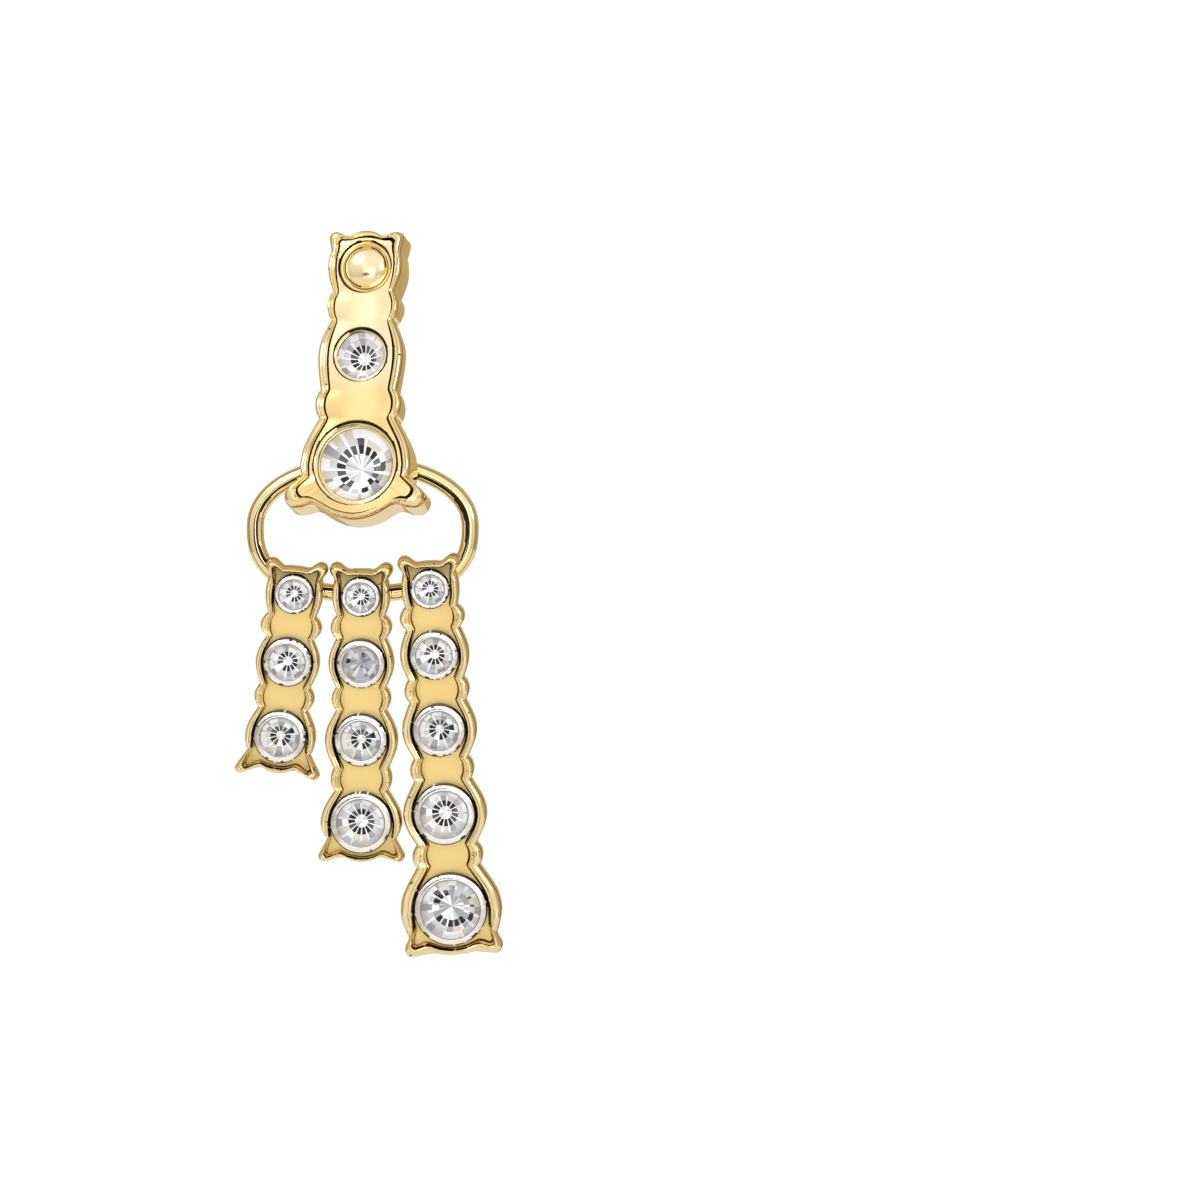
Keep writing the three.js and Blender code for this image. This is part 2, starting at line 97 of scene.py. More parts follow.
class Tree:
    def __init__(self, nodeTree):
        self.nodeTree = nodeTree
        nodeTree.nodes.clear()

    def add(self, kind, settings=None, values=None):
        node = self.nodeTree.nodes.new("ShaderNode" + kind)
        for name, value in (settings or {}).items():
            if name == "stops":
                ramp = node.color_ramp
                while len(ramp.elements) < len(value):
                    ramp.elements.new(1.0)
                for element, (place, colour) in zip(ramp.elements, value):
                    element.position = place
                    element.color = colour
            else:
                setattr(node, name, value)
        for name, value in (values or {}).items():
            if isinstance(value, Wire):
                self.nodeTree.links.new(value.socket, node.inputs[name])
            else:
                node.inputs[name].default_value = value
        return Node(self, node)

    def mix(self, factor, colourA, colourB):
        return self.add("Mix", {"data_type": "RGBA"}, {0: factor, 6: colourA, 7: colourB}).out(2)

    def noise(self, scale, detail=2.0, stretch=(1.0, 1.0, 1.0)):
        place = self.add("TexCoord").out("Object")
        mapped = self.add("Mapping", {}, {"Vector": place, "Scale": stretch}).out("Vector")
        return self.add("TexNoise", {},
                        {"Vector": mapped, "Scale": scale, "Detail": detail}).out("Fac")

    # The share that a value has gone from low to high, eased at both ends and laid between first and last
    def ease(self, value, low, high, first=0.0, last=1.0):
        return self.add("MapRange", {"interpolation_type": "SMOOTHSTEP"}, {
            "Value": value, "From Min": low, "From Max": high, "To Min": first, "To Max": last}).out("Result")

    def surface(self, shader, kind="Material"):
        self.add("Output" + kind, {}, {"Surface": shader})

    def metalSurface(self, colour, grain, look):
        roughness = look["roughness"] + grain * look["roughnessSpread"]
        bump = self.add("Bump", {}, {
            "Height": grain, "Strength": look["bump"], "Distance": look["bumpHeight"]}).out("Normal")
        shader = self.add("BsdfPrincipled", {}, {
            "Base Color": colour, "Roughness": roughness, "Metallic": 1.0, "Normal": bump})
        self.surface(shader.out("BSDF"))


def newMaterial(name):
    material = bpy.data.materials.new(name)
    material.use_nodes = True
    return material, Tree(material.node_tree)


def rgb(red, green, blue):
    return (red, green, blue, 1.0)


def metal(name, look, shade=None):
    material, tree = newMaterial(name)
    cloud = tree.noise(look["cloudScale"], 3.0)
    grain = tree.noise(look["grainScale"], 2.0, look["grainStretch"])
    spread = tree.add("MapRange", {},
                      {"Value": cloud, "From Min": 0.3, "From Max": 0.7}).out("Result")
    colour = tree.mix(spread, look["colour"], look["colourB"])
    if shade:
        colour = endShadow(tree, colour, shade)
    tree.metalSurface(colour, grain, look)
    return material


# A painted shade laid over part of a floor, from a point onwards along a direction
def shadeSpot(shade, start, along, scale=1):
    near = shade["near"] * scale * mm
    far = shade["far"] * scale * mm
    return {"from": start, "along": along, "near": near, "far": far,
            "share": shade["share"], "colour": shade["colour"]}


def endShadow(tree, colour, shade):
    place = tree.add("TexCoord").out("Object")
    for spot in shade:
        away = tree.add("VectorMath", {"operation": "SUBTRACT"}, {0: place, 1: spot["from"]}).out(0)
        along = tree.add("VectorMath", {"operation": "DOT_PRODUCT"},
                         {0: away, 1: spot["along"]}).out("Value")
        depth = tree.ease(along, spot["near"], spot["far"], 0.0, spot["share"])
        colour = tree.mix(depth, colour, spot["colour"])
    return colour


# Two shades in clouds over each metal, and a fine grain in its roughness and height
def finish(colour, colourB, cloudScale, grainScale, roughness, roughnessSpread, bump, **other):
    return {"colour": rgb(*colour), "colourB": rgb(*colourB), "cloudScale": cloudScale,
            "grainScale": grainScale, "grainStretch": (1, 1, 1), "roughness": roughness,
            "roughnessSpread": roughnessSpread, "bump": bump, "bumpHeight": 0.00002, **other}


finishes = {
    "polishedGold": finish((0.91, 0.73, 0.37), (0.93, 0.76, 0.43), 260.0, 2600.0, 0.05, 0.06, 0.08),
    "softGold": finish((0.92, 0.75, 0.43), (0.94, 0.78, 0.50), 200.0, 1800.0, 0.16, 0.06, 0.05),
    "satinGold": finish((0.93, 0.70, 0.285), (0.95, 0.73, 0.315), 180.0, 5200.0, 0.38, 0.14, 0.16,
                        grainStretch=(0.5, 1, 1.6)),
    # darkLine and brownLine are the colours of painted shade lines and painted reflection lines
    "darkLine": finish((0.012, 0.01, 0.008), (0.06, 0.045, 0.025), 900.0, 4000.0, 0.4, 0.2, 0.1),
    "brownLine": finish((0.24, 0.17, 0.065), (0.42, 0.32, 0.14), 700.0, 4000.0, 0.25, 0.2, 0.1),
    "whiteMetal": finish((0.86, 0.86, 0.85), (0.95, 0.94, 0.92), 700.0, 3600.0, 0.1, 0.12, 0.25,
                         bumpHeight=0.00003),
}
materials = {name: metal(name, look) for name, look in finishes.items()}


# Looks of the stones; glow is a painted glow that the pavilion's facets give off
stoneLooks = {
    "clearScale": 300.0, "ior": 1.3, "gloss": 0.01, "facetScale": 900.0, "facetCloud": 0.03,
    "roughness": 0.5, "specular": 0.04, "glow": 0.4, "metalCloud": 0.12,
}


# The clear crown: what lies below shows through it unbent, under sharp reflections
def crystal():
    material, tree = newMaterial("cutStone")
    tint = tree.mix(tree.noise(stoneLooks["clearScale"]), rgb(0.99, 0.99, 0.985), rgb(0.975, 0.975, 0.985))
    clear = tree.add("BsdfTransparent", {}, {"Color": tint}).out(0)
    gloss = tree.add("BsdfGlossy", {}, {"Color": rgb(1, 1, 1), "Roughness": stoneLooks["gloss"]}).out(0)
    edge = tree.add("Fresnel", {}, {"IOR": stoneLooks["ior"]}).out(0)
    tree.surface(tree.add("MixShader", {}, {0: edge, 1: clear, 2: gloss}).out(0))
    return material


# The pavilion: each facet's tone, a painted reflection, is kept in the mesh, and the facets glow a little as
# painted light
def paintedFacets():
    material, tree = newMaterial("stonePaintedFacets")
    tone = tree.add("Attribute", {"attribute_name": "tone"}).out("Color")
    cloud = tree.noise(stoneLooks["facetScale"]) * stoneLooks["facetCloud"]
    shade = tree.mix(cloud, tone, rgb(0.82, 0.82, 0.84))
    shader = tree.add("BsdfPrincipled", {}, {
        "Base Color": shade, "Roughness": stoneLooks["roughness"],
        "Specular IOR Level": stoneLooks["specular"],
        "Emission Color": shade, "Emission Strength": stoneLooks["glow"]})
    tree.surface(shader.out("BSDF"))
    return material


# White metal whose tone is kept in the mesh: its own white and seams, painted shadow lines and painted shade
# on the sides
def toned(look):
    material, tree = newMaterial("tonedWhite")
    tone = tree.add("Attribute", {"attribute_name": "tone"}).out("Color")
    colour = tree.mix(tree.noise(look["cloudScale"]) * stoneLooks["metalCloud"], tone, look["colourB"])
    grain = tree.noise(look["grainScale"])
    tree.metalSurface(colour, grain, look)
    return material


materials["tonedWhite"] = toned(finishes["whiteMetal"])
materials["cutStone"] = crystal()
materials["stonePaintedFacets"] = paintedFacets()
print("materials made")


# Mesh helpers

def deselect():
    bpy.ops.object.select_all(action="DESELECT")


def pick(piece):
    deselect()
    piece.select_set(True)
    bpy.context.view_layer.objects.active = piece


# Rows of points, each row a closed loop; the ends are capped unless the rows run round
def skin(name, rows, closed=False):
    across = len(rows[0])
    bands = len(rows) if closed else len(rows) - 1
    deselect()
    bpy.ops.mesh.primitive_grid_add(x_subdivisions=across, y_subdivisions=bands, size=1)
    piece = bpy.context.object
    piece.name = name
    points = []
    for j in range(bands + 1):
        row = rows[j % len(rows)]
        points += [value for i in range(across + 1) for value in row[i % across]]
    piece.data.vertices.foreach_set("co", points)
    piece.data.update()
    bpy.ops.object.mode_set(mode="EDIT")
    bpy.ops.mesh.select_all(action="SELECT")
    bpy.ops.mesh.remove_doubles(threshold=1e-8)
    if not closed:
        bpy.ops.mesh.fill_holes(sides=0)
    bpy.ops.mesh.select_all(action="SELECT")
    bpy.ops.mesh.normals_make_consistent(inside=False)
    bpy.ops.object.mode_set(mode="OBJECT")
    return piece


# A body turned about Y from pairs of radius and y in mm, from axis to axis or closed on itself
def turned(name, profile, sides):
    closed = profile[0] == profile[-1]
    rows = profile[:-1] if closed else profile
    least = 0.004
    loops = []
    for radius, y in rows:
        r = max(radius, least) * mm
        loops.append([Vector((r * math.cos(a), y * mm, r * math.sin(a)))
                      for a in (2 * math.pi * i / sides for i in range(sides))])
    return skin(name, loops, closed)


# A profile's steps outward and back, from a radius and a depth
def laidOut(radius, y, steps):
    return [(radius + out, y + back) for out, back in steps]


def shift(x, y, z):
    return Matrix.Translation((x * mm, y * mm, z * mm))


def spin(degrees, axis):
    return Matrix.Rotation(math.radians(degrees), 4, axis)


def place(piece, matrix):
    piece.data.transform(matrix)
    piece.data.update()


def cut(piece, cutter):
    pick(piece)
    modifier = piece.modifiers.new("cut", "BOOLEAN")
    modifier.operation = "DIFFERENCE"
    modifier.solver = "MANIFOLD"
    modifier.object = cutter
    bpy.ops.object.modifier_apply(modifier="cut")
    bpy.data.objects.remove(cutter)


def join(piece, other):
    pick(piece)
    other.select_set(True)
    bpy.ops.object.join()


def smooth(piece, angle):
    pick(piece)
    bpy.ops.object.shade_smooth_by_angle(angle=math.radians(angle))


def paint(piece, names, choose=None):
    piece.data.materials.clear()
    for name in names:
        piece.data.materials.append(materials[name])
    if choose:
        for face in piece.data.polygons:
            face.material_index = choose(face)


def paintTones(piece, choose):
    tone = piece.data.color_attributes.new("tone", "FLOAT_COLOR", "CORNER")
    for face in piece.data.polygons:
        colour = (*choose(face), 1.0)
        for corner in face.loop_indices:
            tone.data[corner].color = colour


def hand(piece, body, slotName, *nodes):
    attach(piece, body)
    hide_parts(*nodes)


# Scalloped outlines

# One end of an outline, in shares of its last lobe's half width: where the side ends, the corner's tip and
# its radius, the dip beside it and how far the middle reaches
def end(neck, tip, radius, dip, centre):
    return {"neck": neck, "tip": tip, "radius": radius, "dip": dip, "centre": centre}


# What an outline passes on its way down, with its place as a share of the reach
def bump(at, wide, above, below, floor=1):
    return {"at": at, "bump": wide, "above": above, "below": below, "floor": floor}


def station(at, stone, rim, look=None):
    return {"at": at, "stone": stone, "rim": rim, "look": look}


def recess(at, radius, margin, rim):
    return {"at": at, "recess": radius, "margin": margin, "rim": rim}


# How full each lobe's side is, and where its points lie, as shares of its rise or fall
lobeShape = {
    "stationPower": 1.1, "bumpPower": 0.8, "arc": (0.3, 0.55, 0.8),
    "tipTurns": (-25, 20, 65, 115), "centreShare": 0.28,
}


def endPoints(ending, half):
    tipX, tipZ = (share * half for share in ending["tip"])
    dipX, dipZ = (share * half for share in ending["dip"])
    radius, centre = ending["radius"] * half, ending["centre"] * half
    points = [tuple(share * half for share in ending["neck"])]
    for turn in lobeShape["tipTurns"]:
        angle = math.radians(turn)
        points.append((tipX - radius + radius * math.cos(angle), tipZ - radius + radius * math.sin(angle)))
    points.append((dipX, dipZ))
    points.append((dipX / 2, centre - (centre - dipZ) * lobeShape["centreShare"]))
    points.append((0, centre))
    return points


def sidePoints(lobes):
    points = []
    for lobe in lobes:
        above, below, peak = lobe["above"], lobe["below"], lobe["peak"]
        swells = [(t, math.cos(t * math.pi / 2) ** lobe["power"]) for t in lobeShape["arc"]]
        for t, swell in reversed(swells):
            points.append((above + (peak - above) * swell, lobe["z"] + t * lobe["rise"]))
        points.append((peak, lobe["z"]))
        for t, swell in swells:
            points.append((below + (peak - below) * swell, lobe["z"] - t * lobe["fall"]))
        points.append((below, lobe["z"] - lobe["fall"]))
    return points[:-1]


# A Catmull-Rom line through a closed ring of points
def softLine(points, steps):
    count = len(points)
    line = []
    for i in range(count):
        a, b, c, d = (Vector(points[(i + k - 1) % count]) for k in range(4))
        for step in range(steps):
            t = step / steps
            line.append(0.5 * ((2 * b) + (c - a) * t + (2 * a - 5 * b + 4 * c - d) * t * t
                               + (3 * b - a - 3 * c + d) * t ** 3))
    return line


def outline(strip, side, steps):
    lobes = [{**lobe, **lobe[side]} for lobe in strip["lobes"]]
    first, last = lobes[0], lobes[-1]
    top = [(x, first["z"] + z) for x, z in endPoints(strip["topEnd"][side], first["peak"])]
    bottom = [(x, last["z"] - z) for x, z in endPoints(strip["bottomEnd"][side], last["peak"])]
    right = list(reversed(top)) + sidePoints(lobes) + bottom
    left = [(-x, z) for x, z in right[1:-1]]
    return softLine(list(reversed(right)) + left, steps)


def soften(line, passes, first, last):
    for _ in range(passes):
        before = line
        line = []
        for i, point in enumerate(before):
            if last["z"] < point.y < first["z"]:
                point = point * 0.5 + (before[i - 1] + before[(i + 1) % len(before)]) * 0.25
            line.append(point)
    return line


def stripLobes(rows, reach, shape):
    lobes = []
    for row in rows:
        lobe = {"z": -row["at"] * reach, "power": lobeShape["bumpPower" if "bump" in row else "stationPower"]}
        if "bump" in row:
            wide, floor = row["bump"] * shape["bumpHalf"], row["floor"]
            lobe["rise"] = lobe["fall"] = shape["bumpLength"]
            lobe["outer"] = {"peak": wide, "above": row["above"] * shape["bumpHalf"],
                             "below": row["below"] * shape["bumpHalf"]}
            lobe["inner"] = {"peak": floor * shape["floorBump"], "above": floor * shape["floorNotch"],
                             "below": floor * shape["floorNotch"]}
        else:
            inner = shape["inner"](row)
            lobe["outer"] = {"peak": inner + row["rim"] * shape["rimWidth"]}
            lobe["inner"] = {"peak": inner}
        lobes.append(lobe)
    ends = {"top": shape["topEnd"], "bottom": shape["bottomEnd"]}
    for i, lobe in enumerate(lobes):
        if "bump" in rows[i]:
            continue
        before = lobes[i - 1] if i else None
        after = lobes[i + 1] if i + 1 < len(lobes) else None
        for side in ("outer", "inner"):
            own = lobe[side]
            own["above"] = before[side]["below"] if before else ends["top"][side]["neck"][0] * own["peak"]
            own["below"] = after[side]["above"] if after else ends["bottom"][side]["neck"][0] * own["peak"]
        wide = lobe["outer"]["peak"]
        lobe["rise"] = ends["top"]["outer"]["neck"][1] * wide
        lobe["fall"] = ends["bottom"]["outer"]["neck"][1] * wide
        if before:
            lobe["rise"] = before["z"] - before["fall"] - lobe["z"]
        if after:
            lobe["fall"] = lobe["z"] - after["z"] - after["rise"]
    return {"lobes": lobes, "topEnd": ends["top"], "bottomEnd": ends["bottom"]}


# Face kinds, in the order of each strip's finishes; dark and brown are painted shade and painted reflection
# lines
gold, plain, dark, brown = range(4)
# Where the ends' heights begin and how fast they take over, as shares of the first lobe's rise or the last
# one's fall, how sharply the shift goes from right to left, and the unevenness of the rim as cast by hand
rimShape = {"endStart": 0.4, "endSpan": 0.5, "leftSlope": 2.5, "waves": (0.11, 0.263), "waveTurn": 2.1,
            "facingUp": 0.6}


# Back at y = 0, rim and floor towards -Y
def rimmedStrip(name, strip, shape):
    outer = outline(strip, "outer", shape["steps"])
    first, last = strip["lobes"][0], strip["lobes"][-1]
    inner = soften(outline(strip, "inner", shape["steps"]), shape["soften"], first, last)
    count = len(outer)
    rows = []
    beyond = []
    for x, z in outer:
        above = z - first["z"] - rimShape["endStart"] * first["rise"]
        below = last["z"] - rimShape["endStart"] * last["fall"] - z
        past = min(max(max(above, below) / (rimShape["endSpan"] * first["rise"]), 0), 1)
        beyond.append(past * past * (3 - 2 * past))
    for inward, sideHeight, endHeight, narrow, _ in shape["rim"]:
        row = []
        for i in range(count):
            share = inward + narrow / (1 + math.exp(rimShape["leftSlope"] * outer[i][0]))
            x = outer[i][0] + (inner[i][0] - outer[i][0]) * share
            z = outer[i][1] + (inner[i][1] - outer[i][1]) * share
            height = sideHeight + (endHeight - sideHeight) * beyond[i]
            slow, quick = rimShape["waves"]
            wave = math.sin(i * slow + shape["seed"])
            wave += math.sin(i * quick + rimShape["waveTurn"] * shape["seed"])
            crest = math.sin(math.pi * min(max(share, 0), 1))
            y = -height * (1 + shape["wave"] * wave * crest)
            row.append(Vector((x * mm, y * mm, z * mm)))
        rows.append(row)
    for share, height in shape["floorRows"]:
        row = []
        for x, z in inner:
            middle = min(max(z, last["z"]), first["z"])
            row.append(Vector((x * share * mm, -height * mm, (middle + (z - middle) * share) * mm)))
        rows.append(row)
    piece = skin(name, rows)
    bands = [kind for *_, kind in shape["rim"]]
    rand = random.Random(shape["seed"])
    specks = {rand.randrange(count): rand.choice(shape["speckBands"]) for _ in range(shape["specks"])}

    # Each face's kind by its rim row, with dark specks; the painted shade line gives way to the floor where
    # it faces up near the bottom end
    def rimFinish(face):
        band, column = divmod(face.index, count)
        if band >= len(bands):
            return bands[-1] if face.normal.y < 0 else gold
        faceUp = face.normal.z > rimShape["facingUp"] and face.center.z < last["z"] * mm
        if faceUp and band in shape["litBands"]:
            return plain
        return dark if column in specks and 0 <= band - specks[column] < 2 else bands[band]
    paint(piece, shape["finishes"], rimFinish)
    return piece


def shadeFloor(piece, name, look, shade):
    materials[name] = metal(name, finishes[look], shade)
    piece.data.materials[plain] = materials[name]


def pavilionCutter(radius, girdle, top):
    part = stones
    culet = girdle + part["girdleThickness"] + part["pavilion"] * radius
    opening = radius + part["pavilionGap"]
    slope = opening / (culet + part["pavilionGap"] - girdle)
    wide = opening + (girdle - top) * slope
    if culet + part["pavilionGap"] > -part["floorSkin"]:
        drill = part["drillRadius"]
        profile = [(0, top), (wide, top), (drill, culet + part["pavilionGap"] - drill / slope),
                   (drill, clearCut), (0, clearCut)]
    else:
        profile = [(0, top), (wide, top), (0, culet + part["pavilionGap"])]
    return turned("cutter", profile, part["cutterSides"])


# How far a bail's middle lies behind the back that it is soldered to
def bailReach(gauge):
    return ringPart["wireRadius"] + ringPart["bailClearance"] + gauge - ringPart["bailBite"]


# The eye that hangs on the ring's wire, about X
def bailEye(gauge):
    ring = ringPart
    inner = ring["wireRadius"] + ring["bailClearance"]
    middle, thick, half = inner + gauge / 2, gauge / 2, ring["bailWidth"] / 2
    profile = []
    for i in range(ring["bailSteps"] + 1):
        angle = 2 * math.pi * i / ring["bailSteps"]
        c, s = math.cos(angle), math.sin(angle)
        profile.append((middle + thick * math.copysign(abs(c) ** ring["bailPower"], c),
                        half * math.copysign(abs(s) ** ring["bailPower"], s)))
    profile[-1] = profile[0]
    eye = turned("eye", profile, ring["bailSides"])
    place(eye, spin(90, "Z"))
    return eye


stones = {
    "radius": {"tiny": 1.53, "small": 1.88, "medium": 2.03, "large": 2.45, "main": 3.06},
    "wall": {"tiny": 0.33, "small": 0.47, "medium": 0.52, "large": 0.55, "main": 0.52},
    "gap": 0.1, "table": 0.56, "crown": 0.3, "pavilion": 0.72, "girdleThickness": 0.12,
    "pavilionGap": 0.3, "drillRadius": 0.5, "floorSkin": 0.3, "cutterSides": 48,
    "splitBelow": -0.055, "edgeHalf": 0.05, "drumSides": 96, "starSlope": 0.62, "girdleSteeper": 5.0,
    "halvesSteeper": 1.0, "halvesReach": 0.9808, "blackShare": 0.75, "facing": 0.05,
}
ringPart = {
    "wireRadius": 0.875, "halfWidth": 11.07, "topHeight": 6.41, "bottomHeight": 6.82,
    "topPower": 2.1, "bottomPower": 2.6, "steps": 220, "sides": 48,
    # Columns round the wire painted with a dark and two brown reflection lines
    "black": 34, "brown": (41, 29),
    "bailClearance": 0.5, "bailWidth": 1.2, "bailBite": 0.2, "bailPower": 0.6,
    "bailSteps": 16, "bailSides": 64, "smoothAngle": 60,
    "waver": (2.3, 0.0571, 0.6, 0.1428),
}
trayPart = {
    "depth": 2.5, "floor": 1.25, "seatGap": 0.15, "girdle": 0.85, "lean": 8.0, "bailGauge": 0.6,
    "rimWidth": 0.95, "margin": 0.08, "bumpHalf": 3.2, "bumpLength": 1.15, "floorBump": 2.1,
    "floorNotch": 1.76, "steps": 5, "wave": 0.012, "soften": 10, "specks": 26, "speckBands": (6, 7, 13),
    "litBands": (18, 19),
    "topEnd": {
        "outer": end((0.93, 0.62), (1.09, 1.16), 0.24, (0.46, 0.93), 0.94),
        "inner": end((0.98, 0.6), (1.07, 1.17), 0.08, (0.64, 1.03), 1.05),
    },
    # Share inward, height at the sides, height at both ends, shift on the left, face kind up to the next row;
    # the dark rows are a painted shade line at the floor's edge, the brown rows painted reflection lines
    "rim": [
        (0.12, 0, 0, 0, gold), (0.03, 0.06, 0.06, 0, gold), (0, 0.2, 0.2, 0, gold),
        (0, 1.5, 1.35, 0, brown), (0.01, 1.75, 1.55, 0, brown), (0.06, 2.05, 1.72, 0, gold),
        (0.13, 2.3, 1.95, 0, gold), (0.2, 2.44, 2.15, 0, gold), (0.28, 2.49, 2.31, 0, gold),
        (0.36, 2.5, 2.42, 0, gold), (0.43, 2.48, 2.48, 0, gold), (0.49, 2.44, 2.5, 0, gold),
        (0.53, 2.39, 2.5, 0, brown), (0.57, 2.37, 2.5, 0, gold), (0.62, 2.37, 2.47, 0, gold),
        (0.69, 2.34, 2.38, 0, gold), (0.75, 2.25, 2.22, 0.02, gold), (0.8, 2.08, 2.0, 0.05, gold),
        (0.84, 1.85, 1.8, 0.08, dark), (0.85, 1.5, 1.5, 0.1, dark), (0.855, 1.22, 1.22, 0.1, dark),
        (0.86, 1.15, 1.15, 0.1, dark), (0.985, 1.15, 1.15, 0, dark), (0.99, 1.25, 1.25, 0, plain),
        (1.0, 1.25, 1.25, 0, plain),
    ],
    "floorRows": [], "colletLift": 0.01, "smoothAngle": 38,
    # Painted shadow at the floor's top end under the rim, and painted shade at its bottom end
    "topShade": {"near": 0.3, "far": 2.6, "share": 0.75, "colour": rgb(0.24, 0.2, 0.12)},
    # Near and far are shares of the last stone's radius here
    "bottomShade": {"near": 0.7, "far": 1.9, "share": 0.65, "colour": rgb(0.34, 0.26, 0.11)},
    "looks": {"tiny": "fine", "small": "fine", "medium": "bold", "large": "full", "main": "split"},
    "turnStep": 11, "turnSeed": 7,
}
dropParts = {
    "drop_short": {
        "reach": 14.85, "roll": 6.15, "hang": 0.38, "seed": 1.0,
        "rows": [
            station(0, "tiny", 0.95),
            bump(0.231, 0.98, 0.77, 0.75),
            station(0.476, "small", 0.78),
            bump(0.728, 0.96, 0.81, 0.78),
            station(1, "medium", 0.93),
        ],
        "bottomEnd": {
            "outer": end((0.91, 0.5), (1.2, 1.17), 0.14, (0.5, 0.95), 1.07),
            "inner": end((0.97, 0.5), (1.2, 1.22), 0.08, (0.72, 0.99), 1.14),
        },
    },
    "drop_middle": {
        "reach": 23.37, "roll": 0.55, "hang": -0.12, "seed": 2.6,
        "rows": [
            station(0, "tiny", 0.98),
            bump(0.135, 0.98, 0.78, 0.81),
            station(0.295, "small", 0.87, "dull"),
            bump(0.4535, 0.95, 0.81, 0.81),
            station(0.634, "medium", 1.06),
            bump(0.8105, 0.98, 0.89, 0.86),
            station(1, "large", 1.05),
        ],
        "bottomEnd": {
            "outer": end((0.86, 0.45), (1.06, 0.99), 0.13, (0.48, 0.88), 0.99),
            "inner": end((0.96, 0.45), (1.11, 1.06), 0.08, (0.72, 0.93), 1.12),
        },
    },
    "drop_long": {
        "reach": 33.23, "roll": -3.15, "hang": 0.01, "seed": 4.3,
        "rows": [
            station(0, "tiny", 0.96),
            bump(0.0888, 1.04, 0.84, 0.87),
            station(0.2065, "small", 1.05),
            bump(0.316, 1.04, 0.9, 0.91),
            station(0.441, "medium", 1.15),
            bump(0.5625, 1.02, 0.88, 0.92),
            station(0.703, "large", 1.17),
            bump(0.833, 1.13, 0.97, 1.02),
            station(1, "main", 1.5),
        ],
        "bottomEnd": {
            "outer": end((0.88, 0.55), (0.97, 0.94), 0.155, (0.44, 0.885), 0.93),
            "inner": end((0.98, 0.4), (1.06, 0.96), 0.07, (0.72, 0.88), 1.07),
        },
    },
}
